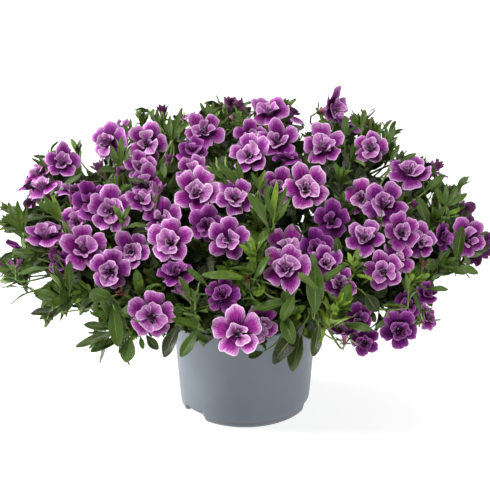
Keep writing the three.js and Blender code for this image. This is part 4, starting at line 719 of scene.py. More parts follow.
def opened(root, axis, radial, open_by, length, width):
    """Blades that open from an axis by an angle, each towards its own radial direction."""
    open_by = np.reshape(open_by, (-1, 1))
    return {"root": root, "way": np.cos(open_by) * axis + np.sin(open_by) * radial,
            "face": np.sin(open_by) * axis - np.cos(open_by) * radial,
            "length": length, "width": width}


def blades_round(tip, axis, back, turn, open_by, length, width, out=0):
    """Blades set round an axis, their roots `back` from its tip and `out` from it."""
    radial = radial_round(axis, turn)
    root = tip - np.reshape(back, (-1, 1)) * axis + out * radial
    return opened(root, axis, radial, open_by, length, width)


def shoot_blades(shoot):
    """The part's own blades of a shoot."""
    leaves = min(shoot["leaves"], MOST_SHOOT_LEAVES)
    k = np.arange(leaves)
    share = k / (leaves - 1)
    turn = k * GOLDEN_ANGLE + WHOLE_TURN * draw(4, shoot["number"], 0)
    shift = np.array([spread(4, shoot["number"], n + 1) for n in k])
    open_by = np.radians(SHOOT_OPENING - SHOOT_CLOSING * share + SHOOT_OPENING_SHIFT * shift)
    back = shoot["leafy"] * (1 - share) + ROOT_SUNK * share
    length = shoot["leaf_length"] * (1 - SHOOT_LEAF_TAPER * share)
    return blades_round(shoot["tip"], shoot["axis"], back, turn, open_by, length,
                        length * SHOOT_LEAF_SLENDERNESS)


def filler_blades(stem, number):
    """The part's own blades that stand out of a leafy stem's middle."""
    k = np.arange(FILLER_LEAVES)
    turn = k * GOLDEN_ANGLE + WHOLE_TURN * draw(5, number, 0)
    open_by = np.radians(FILLER_OPENING + FILLER_SPREAD * np.sqrt((k + 0.5) / FILLER_LEAVES))
    shift = np.array([spread(5, number, n + 1) for n in k])
    length = LEAF_LENGTH * (LEAF_LENGTH_SHARE + LEAF_LENGTH_SHIFT * shift)
    made = blades_round(stem["centre"], stem["outward"], 0 * k, turn, open_by, length,
                        np.full(len(k), float(LEAF_WIDTH)))
    radial = unit(made["way"] - (made["way"] @ stem["outward"])[:, None] * stem["outward"])
    made["root"] = made["root"] + radial * (0.6 * CORE_WIDE * np.sin(open_by))[:, None]
    made["root"] = made["root"] + stem["outward"] * (0.5 * CORE_THICK * np.cos(open_by))[:, None]
    return made


# ---- Buds ----
BUD, BUD_GREEN, BUD_SPENT = 0, 1, 2
# For closed, opening and spent: the tone, the width as a share of the length, and how far the
# folded lobes open and curl.
BUD_TONES, BUD_WIDTHS = (0.1, 0.5, 0.4), (0.15, 0.2, 0.13)
BUD_OPENINGS, BUD_CURLS, BUD_STALK_RADII = (14, 26, 18), (0.4, -0.5, 0.9), (0.7, 0.95)


def add_bud(batch, bud, stems, rng):
    """A bud on its stalk: a ribbed funnel, its folded lobes, and a calyx of five sepals."""
    across, up, heading, length, kind = bud
    axis = seen_way(heading, 0.25)
    root = mound_at(across, up, -4) - 0.5 * length * axis
    look = (BUD_TONES[kind] + 0.15 * rng.uniform(-1, 1), rng.random(), 0)
    finish = BUD_SPENT if kind == SPENT else BUD
    wide = length * BUD_WIDTHS[kind]
    shares = np.linspace(0.02, 0.6, 6)
    radii = wide * np.array([0.34, 0.42, 0.5, 0.62, 0.82, 1])
    batch.tube(root + length * shares[:, None] * axis, radii, look, finish, 15)

    def ring(count, start, out, open_by, long, broad, tone, finish, grid, arch):
        turns = rng.uniform(0, 6.28) + even_turns(count)
        open_by = np.radians(open_by + rng.uniform(-7, 7, count))
        size = length * long * rng.uniform(0.85, 1.15, count)
        blades = blades_round(root, axis, -length * start, turns, open_by, size, broad * size, out)
        add_leaves(batch, blades, tone, rng, finish, grid, arch)

    ring(7, 0.54, 0.85 * wide, BUD_OPENINGS[kind], 0.46, 0.44, look[0], finish, (6, 5), BUD_CURLS[kind])
    ring(4, 0.5, 0.3 * wide, 4, 0.44, 0.5, look[0] - 0.1, finish, (6, 3), 0.3)
    ring(5, 0, 0.04 * length, 20, 0.6, 0.17, 0.5, BUD_GREEN, (5, 3), -0.5)
    stem = stems[nearest_stem(root, stems)]
    away = np.linalg.norm(root - stem["centre"])
    bow = stem["centre"] + 0.4 * away * unit(unit(root - stem["centre"]) + 0.6 * stem["outward"])
    knots = (root + 0.03 * length * axis, root - 0.35 * away * axis, bow, stem["centre"])
    batch.tube(bezier(knots, 9), BUD_STALK_RADII, (0.5, rng.random(), 0), BUD_GREEN)


# ---- Foliage ----
LEAF, STEM = 0, 1
TWIGS, TWIG_LEAVES, TWIG_LEAFY = 240, 12, 54
TUFT_LEAVES, TUFT_OPENING = 7, (6, 40)
LOW_TWIG_HEIGHT, LOWEST_TIP, DEEPEST_TWIG = 92, 40, 30
INNER_SPACING, INNER_SUNK, INNER_LEAVES, INNER_LEAFY, INNER_LENGTH = 15.5, (20, 40), 9, 34, 27
INNER_ROUND, INNER_ROUND_SUNK = 240, (18, 64)
CLEAR_AHEAD, SLENDER_BELOW, BROAD_ABOVE = 60, 20, 28
# The share of a bloom's radius that the front view keeps free of most leaves, and of the leaves
# that a shoot has of its own.
FACE_IN_VIEW, CENTRE_IN_VIEW = 0.86, 0.4
# The turns that a blade tries until it is clear, in degrees towards its face.
BENDS = (0, 14, -14, 28, -28, 44)
# Leaves within this share of the mound are darker, by this much for a whole share: painted shade inside the
# mound, and partly older inner leaves.
BRIGHT_DEPTH, DARKER_BY_DEPTH = 0.96, 1.7
# How far leaves keep off the pot.
POT_GAP = 2
# Radii of stems and stalks, where they start and where they end.
SHOOT_RADII, TWIG_RADII, INNER_RADII, CROWN_RADII = (1.25, 0.6), (1.1, 0.5), (1.2, 0.6), (1.3, 0.6)
LEAF_STALK_RADII, BARE_STALK_RADII = (0.5, 1), (0.55, 1)
SHOOT_TONES, TWIG_LENGTH, BROAD_NARROWING = (0.15, 0.45, 0.66), (20, 28), 0.7


def clear_of_blooms(points, blooms, in_view=FACE_IN_VIEW):
    """True for each row of points that keeps out of every bloom and out of the view of it."""
    clear = np.ones(len(points), bool)
    for bloom in blooms:
        size = bloom["radius"]
        out, height = in_bloom(points, bloom)
        hit = (out < 0.98 * size) & (height > -3) & (height < 0.5 * size + 2)
        if in_view and bloom["number"] < len(FRONT_BLOOMS):
            apart = points - bloom["centre"]
            ahead = -(apart @ FORWARD)
            aside = np.sqrt(np.maximum((apart**2).sum(-1) - ahead**2, 0))
            hit |= (ahead > 0) & (ahead < CLEAR_AHEAD) & (aside < in_view * size)
        clear &= ~hit.any(axis=-1)
    return clear


def over_mound(points):
    """How far out points are, in shares of the mound's own size."""
    share = np.clip(np.abs(points[..., 0]) / SPREAD_X, 0, 1)
    right = points[..., 0] > 0
    rise = RISE * (1 - RISE_FALL_RIGHT * share * right)
    drop = DROP * (1 + DROP_SAG_LEFT * share * ~right)
    up = points[..., 2] - WAIST_HEIGHT
    level = (points[..., 0] / SPREAD_X) ** 2 + (points[..., 1] / SPREAD_Y) ** 2
    return np.sqrt(level + (up / np.where(up > 0, rise, drop)) ** 2)


def in_open_place(points):
    """True where a point is seen in one of the places that the front view leaves open."""
    apart = points - EYE
    scale = SIGHT_DISTANCE / (apart @ FORWARD)
    across, up = scale * (apart @ RIGHT), scale * (apart @ UP)
    found = np.zeros(points.shape[:-1], bool)
    for x, y, half_x, half_y in OPEN_PLACES:
        found |= ((across - x) / half_x) ** 2 + ((up - y) / half_y) ** 2 < 1
    return found


def past_pot(point, height, past_rim):
    """True for a point above a height, or far enough out past the pot's rim."""
    return point[2] > height or math.hypot(point[0], point[1]) > RIM_RADIUS + past_rim


def keep_clear(blades, blooms, limit, in_view=FACE_IN_VIEW):
    """Bends each blade until it is clear of blooms, open places and the pot, and drops it where
    no bend helps. Its tip stays within `limit`, a share of the mound's own size."""
    kept = {key: [] for key in blades}
    left = dict(blades)
    for degrees in BENDS:
        if len(left["root"]) == 0:
            break
        turn = radians(degrees)
        way = left["way"] * math.cos(turn) + left["face"] * math.sin(turn)
        face = left["face"] * math.cos(turn) - left["way"] * math.sin(turn)
        reach = left["length"][:, None, None] * np.array([0.2, 0.4, 0.6, 0.8, 1])[:, None]
        points = left["root"][:, None] + way[:, None] * reach
        tips = points[:, -1]
        good = clear_of_blooms(points, blooms, in_view)
        good &= (np.abs(tips[:, 0]) < HALF_SPAN_X) & (np.abs(tips[:, 1]) < HALF_SPAN_Y)
        good &= (over_mound(tips) < limit) & ~in_open_place(points).any(axis=-1)
        over_pot = np.hypot(points[..., 0], points[..., 1]) < RIM_RADIUS + POT_GAP
        good &= ~(over_pot & (points[..., 2] < POT_HEIGHT + POT_GAP)).any(axis=-1)
        bent = dict(left, way=way, face=face)
        for key in kept:
            kept[key].append(bent[key][good])
            left[key] = left[key][~good]
    return {key: np.concatenate(kept[key]) for key in kept}


def place_blades(batch, blades, tone, rng, grid=(8, 5), arch=0.6):
    """Leaves, darker where they are deeper in the mound: painted shade inside the mound, partly older inner
    leaves too.
    """
    if len(blades["root"]):
        middle = blades["root"] + 0.5 * blades["length"][:, None] * blades["way"]
        # Painted shade: the tone drops for leaves deep inside the mound.
        tone = tone - DARKER_BY_DEPTH * np.clip(BRIGHT_DEPTH - over_mound(middle), 0, 0.4)
        add_leaves(batch, blades, tone, rng, LEAF, grid, arch)


def twig_blades(path, leafy, count, length, rng):
    """Blades in a spiral round the outer part of a path, smaller towards its tip, and how far
    along that part each one is."""
    steps = np.linalg.norm(np.diff(path, axis=0), axis=1)
    far = np.concatenate(([0], np.cumsum(steps)))
    share = (np.arange(count) + rng.uniform(0, 0.5)) / count
    at = far[-1] - min(leafy, 0.92 * far[-1]) * (1 - share)
    on_path = lambda where: np.stack([np.interp(where, far, path[:, k]) for k in range(3)], axis=-1)
    roots = on_path(at)
    axis = unit(on_path(at + 2) - roots + 1e-6 * path[-1])
    axis[at + 2 > far[-1]] = unit(path[-1] - path[-2])
    side = unit(np.cross(vector(0.3, 0.2, 1), axis))
    turn = (rng.uniform(0, 6.28) + np.arange(count) * GOLDEN_ANGLE)[:, None]
    radial = np.cos(turn) * side + np.sin(turn) * np.cross(axis, side)
    open_by = np.radians(66 - 30 * share**1.5 + rng.uniform(-12, 12, count))
    size = length * rng.uniform(0.8, 1.15, count) * (1 - 0.2 * share**2)
    return opened(roots, axis, radial, open_by, size, size * rng.uniform(0.3, 0.42, count)), share


def tuft_blades(tip, axis, length, count, rng):
    """The youngest leaves, close together round a shoot's tip."""
    k = np.arange(count)
    low, high = TUFT_OPENING
    open_by = np.radians(low + (high - low) * (k / count) ** 0.8 + rng.uniform(-5, 5, count))
    size = length * (0.62 + 0.4 * k / count) * rng.uniform(0.88, 1.12, count)
    turn = rng.uniform(0, 6.28) + k * GOLDEN_ANGLE
    return blades_round(tip, axis, 0.5 + 6 * k / count, turn, open_by, size,
                        size * rng.uniform(0.24, 0.33, count))


def lay_twigs(stems, blooms, rng):
    """Leafy side branches spread over the whole mound, their tips among the blooms."""
    twigs = []
    for k in range(TWIGS):
        tilt = math.acos(1 - 1.86 * (k + 0.5) / TWIGS)
        surface = mound_point(tilt, k * GOLDEN_ANGLE + rng.uniform(-0.1, 0.1))
        outward = mound_normal(surface)
        lift = 0.6 if surface[2] > LOW_TWIG_HEIGHT + 25 else 0.1
        axis = unit(outward + 0.55 * rng.uniform(-1, 1, 3) + vector(0, 0, lift))
        for deep in range(3, DEEPEST_TWIG, 4):
            tip = surface - deep * outward
            probe = tip + axis * np.array([0, 6, 12])[:, None]
            free = clear_of_blooms(probe[None], blooms)[0] and not in_open_place(tip)
            if free and tip[2] > LOWEST_TIP and past_pot(tip, LOW_TWIG_HEIGHT, 12):
                stem = nearest_stem(tip, stems)
                twigs.append({"tip": tip, "axis": axis, "stem": stem, "deep": deep})
                break
    return twigs


def lay_inner_twigs(stems, rng):
    """Short twigs well inside the mound, whose large leaves close the view through it; they are coloured
    dark as painted shade of the mound's inside, and partly as older leaves.
    """
    twigs = []

    def place(tip, outward, wander):
        if past_pot(tip, LOW_TWIG_HEIGHT + 4, 16) and not in_open_place(tip):
            axis = unit(outward + wander * rng.uniform(-1, 1, 3))
            twigs.append({"tip": tip, "axis": axis, "stem": nearest_stem(tip, stems)})

    for across in np.arange(-SPREAD_X + 30, SPREAD_X - 25, INNER_SPACING):
        for up in np.arange(-62, 92, INNER_SPACING):
            x, y = across + 5 * rng.uniform(-1, 1), up + 5 * rng.uniform(-1, 1)
            tip = mound_at(x, y, rng.uniform(*INNER_SUNK))
            if over_mound(tip) < 0.86:
                place(tip, mound_normal(tip) - 0.4 * FORWARD, 0.6)
    for k in range(INNER_ROUND):
        tilt = math.acos(0.98 - 1.33 * (k + 0.5) / INNER_ROUND)
        surface = mound_point(tilt, k * GOLDEN_ANGLE)
        outward = mound_normal(surface)
        place(surface - rng.uniform(*INNER_ROUND_SUNK) * outward, outward, 0.7)
    return twigs


def stem_path(stem):
    """Up out of the soil, and then in a bow to the stem's leafy part."""
    leave = stem["foot"] * (1, 1, 0) + vector(0, 0, SOIL_TOP + STEM_RISE)
    near = 0.5 * (stem["centre"] + leave) + STEM_BOW * stem["outward"]
    root = stem["foot"] * (1, 1, 0) + vector(0, 0, SOIL_TOP - STEM_ROOT_DEPTH)
    bow = bezier((leave, near, stem["centre"]), 12)
    return np.concatenate((np.linspace(root, leave, 4)[:-1], bow))


def grow_shoot(batch, shoot, stem, blooms, rng):
    """A leafy shoot: its stem, the part's own blades, smaller ones between them, and its tuft."""
    away = np.linalg.norm(shoot["base"] - stem["centre"])
    bow = 0.5 * (stem["centre"] + shoot["base"]) + 0.12 * away * (stem["outward"] - shoot["axis"])
    line = bezier((stem["centre"], bow, shoot["base"]), 9)
    line = np.concatenate((line, np.linspace(shoot["base"], shoot["tip"], 4)[1:]))
    own = keep_clear(shoot_blades(shoot), blooms, 1.6, CENTRE_IN_VIEW)
    if shoot["leaf_length"] <= BROAD_ABOVE:
        own["width"] = BROAD_NARROWING * own["width"]
    if len(own["root"]) < 2:
        return
    batch.tube(line, SHOOT_RADII, (0.6, rng.random(), 0), STEM)
    bright = SHOOT_TONES[shoot["tone"]] + 0.12 * rng.uniform(-1, 1)
    place_blades(batch, own, bright, rng, grid=(10, 7))
    if shoot["leaves"] < 4:
        return
    count, length = int(shoot["leaves"] * 1.4), shoot["leaf_length"]
    more, _ = twig_blades(line, shoot["leafy"] + 16, count, 0.9 * length, rng)
    place_blades(batch, keep_clear(more, blooms, 1.3), bright - 0.1, rng, grid=(7, 5))
    if length > SLENDER_BELOW:
        tuft = tuft_blades(shoot["tip"], shoot["axis"], 0.72 * length, 6, rng)
        tuft = keep_clear(tuft, blooms, 1.7, CENTRE_IN_VIEW)
        place_blades(batch, tuft, bright + 0.12, rng, arch=0.35)


def grow_twig(batch, twig, stem, blooms, rng):
    """A side branch: dark leaves deep down, brighter ones further out, and a tuft at its tip. A twig sunk
    deeper gets darker leaves, as painted shade.
    """
    reach = np.linalg.norm(twig["tip"] - stem["centre"])
    start = stem["centre"] - 6 * stem["outward"] + rng.uniform(-3, 3, 3)
    line = bezier((start, twig["tip"] - 0.45 * reach * twig["axis"], twig["tip"]), 10)
    leafy = TWIG_LEAFY if twig["deep"] < 12 else 0.8 * TWIG_LEAFY
    length = rng.uniform(*TWIG_LENGTH)
    made, share = twig_blades(line, leafy, TWIG_LEAVES, length, rng)
    # The drop with the twig's depth is painted shade; the rise along the twig is younger leaves.
    made["tone"] = 0.42 * share**1.5 - 0.012 * twig["deep"] + rng.uniform(-0.1, 0.1, len(share))
    tuft = tuft_blades(twig["tip"], twig["axis"], 0.75 * length, TUFT_LEAVES, rng)
    tuft = keep_clear(tuft, blooms, 1.1)
    if len(tuft["root"]) < 2:
        return
    batch.tube(line, TWIG_RADII, (0.4, rng.random(), 0), STEM, 5)
    for part, grid in ((share > 0.4, (6, 5)), (share <= 0.4, (6, 3))):
        kept = keep_clear({key: value[part] for key, value in made.items()}, blooms, 1.06)
        place_blades(batch, kept, kept["tone"], rng, grid=grid)
    # Painted shade: the tuft is darker the deeper the twig is sunk.
    bright = 0.42 - 0.012 * twig["deep"] + rng.uniform(-0.1, 0.1)
    place_blades(batch, tuft, bright, rng, grid=(7, 3), arch=0.35)


def grow_broad_leaves(batch, number, stems, rng):
    """The broad leaves at the front whose stalks run to this stem, and the bare stalks."""
    centre = stems[number]["centre"]
    for across, up, heading, length, width, towards, tone in BROAD_LEAVES:
        root = mound_at(across, up, -3)
        if nearest_stem(root, stems) == number:
            way = seen_way(heading, towards)
            face = unit(vector(0, 0, 0.8) - FORWARD + 0.3 * rng.uniform(-1, 1, 3))
            blade = {"root": root[None], "way": way[None], "face": face[None],
                     "length": length, "width": width}
            add_leaves(batch, blade, tone, rng, LEAF, (12, 7), 0.35)
            away = np.linalg.norm(root - centre)
            knots = (root + 0.5 * way, root - 0.3 * away * way, 0.5 * (root + centre), centre)
            look = (0.5 + 0.5 * tone, rng.random(), 0)
            batch.tube(bezier(knots, 9), LEAF_STALK_RADII, look, STEM)
    for stalk in STALKS:
        line = [mound_at(across, up, 1) for across, up in stalk]
        if nearest_stem(line[-1], stems) == number:
            line = bezier((*line, 0.5 * (line[-1] + centre), centre), 14)
            batch.tube(line, BARE_STALK_RADII, (0.7, rng.random(), 0), STEM)


def grow_stem(number, stem, shoots, twigs, inner, blooms, rng):
    """One leafy stem with its side branches and every leaf on them."""
    batch = Batch()
    # The main stem's low tone paints it dark: painted shade deep in the mound.
    batch.tube(stem_path(stem), (STEM_RADIUS, 0.6 * STEM_RADIUS), (0.05, rng.random(), 0), STEM, 10)
    crown = stem["centre"] + 14 * stem["outward"]
    batch.tube(bezier((stem["centre"], crown), 4), CROWN_RADII, (0.4, 0.5, 0), STEM, 8)
    own = keep_clear(filler_blades(stem, number), blooms, 1.2, in_view=0)
    place_blades(batch, own, 0.25, rng)
    for twig in inner:
        line = bezier((stem["centre"], twig["tip"] - 14 * twig["axis"], twig["tip"]), 7)
        batch.tube(line, INNER_RADII, (0.3, rng.random(), 0), STEM, 5)
        made, share = twig_blades(line, INNER_LEAFY, INNER_LEAVES, INNER_LENGTH, rng)
        # Inner leaves are given a dark tone: painted shade inside the mound, partly older leaves.
        made.update(width=1.15 * made["width"], tone=0.25 * share - 0.3)
        kept = keep_clear(made, blooms, 0.97, in_view=0)
        place_blades(batch, kept, kept["tone"], rng, grid=(6, 3))
    for shoot in shoots:
        grow_shoot(batch, shoot, stem, blooms, rng)
    for twig in twigs:
        grow_twig(batch, twig, stem, blooms, rng)
    return batch


# ---- Pot and soil ----
POT_COLUMNS, SOIL_COLUMNS = 240, 150


def wall_radius(height):
    """The pot's outer radius at a height on its tapering wall."""
    return FOOT_RADIUS + (RIM_RADIUS - LIP_PROUD - FOOT_RADIUS) * height / POT_HEIGHT


def pot_batch():
    """The pot as one turned skin, its foot cut by three water notches."""
    batch = Batch()
    turn = even_turns(POT_COLUMNS)
    lift = np.zeros(POT_COLUMNS)
    for heading in NOTCH_HEADINGS:
        off = (turn - radians(heading) + math.pi) % WHOLE_TURN - math.pi
        off = np.abs(off) * FOOT_RADIUS
        rise = np.clip((NOTCH_HALF_WIDTH + NOTCH_SLOPE - off) / NOTCH_SLOPE, 0, 1)
        lift = np.maximum(lift, NOTCH_HEIGHT * rise)
    low, lip = POT_HEIGHT - LIP_HEIGHT, RIM_RADIUS
    inner = lambda height: wall_radius(height) - WALL
    corner = [(wall_radius(0) - FOOT_ROUNDING * (1 - math.sin(a)), FOOT_ROUNDING * (1 - math.cos(a)))
              for a in np.radians((0, 22, 45, 68, 90))]
    profile = [(0.5, FLOOR_BOTTOM), (24, FLOOR_BOTTOM), (FOOT_RING_INNER - 0.4, FLOOR_BOTTOM),
               (FOOT_RING_INNER, FLOOR_BOTTOM - 0.4), (FOOT_RING_INNER, 0.4),
               (FOOT_RING_INNER + 0.4, 0), *corner]
    # A fine groove above the foot, and then the plain wall up to the lip.
    profile += [(wall_radius(z) - dent, z) for z, dent in (
        (3.9, 0), (4.15, 0.12), (4.4, 0.3), (4.65, 0.12), (4.9, 0), (12, 0), (30, 0), (50, 0),
        (70, 0), (79.5, 0), (low - 0.9, 0), (low - 0.3, 0.05), (low, 0))]
    profile += [(lip - 0.35, low + 0.1), (lip - 0.06, low + LIP_UNDERCUT), (lip, low + 1),
                (lip, POT_HEIGHT - 0.9), (lip - 0.14, POT_HEIGHT - 0.35),
                (lip - LIP_ROUNDING, POT_HEIGHT), (inner(POT_HEIGHT) + 0.4, POT_HEIGHT),
                (inner(POT_HEIGHT), POT_HEIGHT - 0.4), (inner(60), 60), (inner(30), 30),
                (inner(FLOOR_TOP) - 0.2, FLOOR_TOP + 1), (inner(FLOOR_TOP) - 1.2, FLOOR_TOP),
                (24, FLOOR_TOP), (0.5, FLOOR_TOP)]
    rows = np.array(profile)
    z = np.broadcast_to(rows[:, 1:], (len(rows), POT_COLUMNS))
    foot = (rows[:, 0] > FOOT_RING_INNER - 0.1)[:, None] & (z < NOTCH_HEIGHT)
    z = np.where(foot, np.maximum(z, lift), z)
    points = np.stack((rows[:, :1] * np.cos(turn), rows[:, :1] * np.sin(turn), z), axis=-1)
    batch.grids(points[None], points[None] / 100, (0, 0, 0), 0, closed=True)
    return batch


def soil_batch(rng):
    """A crumbled root ball: a lumpy top with a plain side and bottom."""
    batch = Batch()
    turn = even_turns(SOIL_COLUMNS)
    wall = wall_radius(SOIL_TOP) - WALL - SOIL_CLEARANCE
    radius = wall * np.linspace(0.01, 1, 46) ** 0.8
    share = (radius / wall)[:, None]
    x, y = radius[:, None] * np.cos(turn), radius[:, None] * np.sin(turn)
    z = SOIL_TOP + SOIL_CROWN * (1 - share**2) - SOIL_EDGE_DROP * share**8 + 0 * x
    # Lumps of four sizes, each size from five pairs of crossing waves.
    for pitch, tall in ((9, 0.5), (4.2, 0.45), (2.3, 0.35), (1.4, 0.25)):
        for _ in range(5):
            a, b, p = rng.uniform(0, WHOLE_TURN, 3)
            wave = np.sin((x * math.cos(a) + y * math.sin(a)) * 6.28 / pitch + p)
            cross = np.sin((x * math.cos(b) - y * math.sin(b)) * 6.28 / (1.3 * pitch) + a)
            z = z + 0.45 * tall * wave * cross
    z = np.minimum(z, SOIL_TOP + SOIL_CROWN)
    top = np.stack((x, y, z), axis=-1)
    below = []
    for height, part in ((SOIL_TOP - 4, 1), (40, 1), (FLOOR_TOP + 0.4, 1), (FLOOR_TOP + 0.3, 0.01)):
        r = part * (wall_radius(height) - WALL - SOIL_CLEARANCE)
        below.append(np.stack((r * np.cos(turn), r * np.sin(turn), height + 0 * turn), axis=-1))
    points = np.concatenate((top, np.array(below)))
    batch.grids(points[None], points[None] / 100, (0, 0, 0), 0, closed=True, flip=True)
    return batch


# ---- Materials ----
class Wire:
    """A value in a material's node tree, with Python's own signs for sums on it."""

    def __init__(self, nodes, socket):
        self.nodes, self.socket = nodes, socket

    def sum(self, operation, other=None):
        return self.nodes.add("ShaderNodeMath", {0: self, 1: other}, operation=operation)

    def __add__(self, other):
        return self.sum("ADD", other)

    def __sub__(self, other):
        return self.sum("SUBTRACT", other)

    def __mul__(self, other):
        return self.sum("MULTIPLY", other)

    def __abs__(self):
        return self.sum("ABSOLUTE")

    def off_half(self):
        """How far the fraction is from a half: a row of ridges, one for each whole number."""
        return abs(self.sum("FRACT") - 0.5)

    def step(self, low, high, start=0.0, end=1.0):
        """A smooth step between two values, from `start` to `end`."""
        inputs = {"Value": self, "From Min": low, "From Max": high, "To Min": start, "To Max": end}
        return self.nodes.add("ShaderNodeMapRange", inputs, interpolation_type="SMOOTHSTEP")


class Nodes:
    """A material's node tree. Colours are given as they show on a screen, in 0 to 255."""

    def __init__(self, name, roughness, specular):
        self.material = bpy.data.materials.new(name)
        self.material.use_nodes = True
        self.tree = self.material.node_tree
        self.surface = self.tree.nodes["Principled BSDF"]
        self.surface.inputs["Roughness"].default_value = roughness
        self.surface.inputs["Specular IOR Level"].default_value = specular

    def add(self, kind, inputs, out=0, **settings):
        node = self.tree.nodes.new(kind)
        for key, value in settings.items():
            setattr(node, key, value)
        for key, value in inputs.items():
            if isinstance(value, Wire):
                self.tree.links.new(value.socket, node.inputs[key])
            elif value is not None:
                node.inputs[key].default_value = value
        return Wire(self, node.outputs[out])

    def mix(self, share, a, b, blend="MIX"):
        """A mix of two colours; a tuple is a screen colour, and a list is taken as it is."""
        a, b = ((*linear(c), 1) if isinstance(c, tuple) else c for c in (a, b))
        inputs = {0: share, 6: a, 7: b}
        return self.add("ShaderNodeMix", inputs, out=2, data_type="RGBA", blend_type=blend)

    def marks(self, name):
        """The three numbers that the mesh carries under a name."""
        mark = self.add("ShaderNodeAttribute", {}, out="Vector", attribute_name=name)
        split = self.add("ShaderNodeSeparateXYZ", {0: mark})
        return [Wire(self, socket) for socket in split.socket.node.outputs]

    def noise(self, scale, detail=3.0, rough=0.55, place=None):
        place = place or self.add("ShaderNodeTexCoord", {}, out="Object")
        inputs = {"Vector": place, "Scale": scale, "Detail": detail, "Roughness": rough}
        return self.add("ShaderNodeTexNoise", inputs)

    def set(self, name, wire):
        self.tree.links.new(wire.socket, self.surface.inputs[name])

    def bump(self, height, distance, strength=1.0):
        inputs = {"Height": height, "Distance": distance, "Strength": strength}
        self.set("Normal", self.add("ShaderNodeBump", inputs))


def linear(colour):
    """A screen colour's red, green and blue as amounts of light, from 0 to 1."""
    return tuple(((c / 255 + 0.055) / 1.055) ** 2.4 if c > 10 else c / 3295 for c in colour)


def petal_finish(name, ruffle):
    """Petals that run in streaks from a dark throat over magenta to lilac, with a thin pale rim."""
    n = Nodes(name, 0.62, 0.07)
    edge, radius, phi = n.marks("where")
    tone, seed, under = n.marks("look")
    along = {"X": phi * 8.0, "Y": radius * 1.6, "Z": seed * 60.0}
    streak = n.noise(1.0, 2, 0.6, n.add("ShaderNodeCombineXYZ", along)) - 0.5
    cloud = n.noise(240, 2) - 0.5
    fine = n.noise(1400, 2)
    ragged = streak * 0.9 + cloud * 0.18
    lilac = n.mix(tone, (222, 154, 216), (128, 46, 128))
    middle = n.mix(tone, (170, 52, 156), (90, 18, 96))
    middle = n.mix(seed.step(0.2, 0.9, 0, 0.5), middle, (112, 28, 126))
    dark = n.mix(tone, (88, 12, 84), (40, 4, 44))
    rim = n.mix(tone, (250, 228, 247), (178, 98, 176))
    if ruffle:
        lilac = n.mix(0.5, lilac, n.mix(tone, (220, 166, 214), (138, 60, 138)))
        middle = n.mix(0.5, middle, n.mix(tone, (192, 104, 184), (112, 34, 114)))
    lilac_span, dark_span = ((0.06, 0.44), (0.26, -0.06)) if ruffle else ((0.03, 0.42), (0.82, 0.34))
    colour = n.mix((edge + ragged * 0.62).step(*lilac_span), lilac, middle)
    colour = n.mix((radius + ragged).step(*dark_span), colour, dark)
    colour = n.mix((edge + ragged * 0.12).step(0.075, 0.01, 0, 0.95), colour, rim)
    ridge = (phi * 5.5 + cloud * 1.6).off_half()
    vein = ridge.step(0.17, 0.02) * edge.step(0.02, 0.16) * 0.6
    # A lobe's number is marked in threes, so what is left of phi is about nought on its midline.
    aside = abs(phi - phi.sum("DIVIDE", 3.0).sum("ROUND") * 3.0)
    midline = aside.step(0.05, 0.0) * edge.step(0.0, 0.12) * 0.8
    colour = n.mix(vein.sum("MAXIMUM", midline), colour, n.mix(tone, (100, 22, 94), (48, 8, 50)))
    back = n.mix(0.45, colour, n.mix(tone, (176, 120, 168), (112, 60, 110)))
    colour = n.mix(under * 0.8, colour, back)
    dimmed = n.mix(1.0, colour, [0.8, 0.72, 0.8, 1], "MULTIPLY")
    n.set("Base Color", n.mix(fine.step(0.35, 0.7, 0, 0.25), colour, dimmed))
    n.bump(ridge * 0.7 + fine * 0.35, 0.0003, 0.8)
    return n.material


def funnel_finish():
    """Behind the face: lilac with brown-purple veins, orange-brown where the calyx holds it."""
    n = Nodes("petal_funnel", 0.6, 0.25)
    along, turn, _ = n.marks("where")
    tone = n.marks("look")[0]
    vein = (turn * 15.0 + n.noise(300) * 0.8).off_half().step(0.24, 0.05, 0, 0.65)
    colour = n.mix(along.step(0.15, 0.8), (158, 92, 156), (150, 84, 72))
    colour = n.mix(along.step(0.7, 1.0), colour, (132, 100, 50))
    n.set("Base Color", n.mix(vein, colour, n.mix(tone, (98, 36, 84), (60, 18, 52))))
    n.bump(n.noise(1500), 0.0002)
    return n.material


def bud_finish(name, dark, pale, line):
    """Folded petals with dark ribs and paler folds between them."""
    n = Nodes(name, 0.65, 0.2)
    along, aside, _ = n.marks("where")
    cloud = n.noise(420, 3)
    shade = n.marks("look")[0] + (cloud - 0.5) * 0.7
    fold = (aside * 5.0).off_half()
    colour = n.mix(fold.step(0.3, 0.05, 0, 0.6), n.mix(shade.step(0, 1), dark, pale), line)
    n.set("Base Color", n.mix(along.step(0.6, 1, 0, 0.3), colour, pale))
    n.bump(fold + cloud * 0.5, 0.0003)
    return n.material


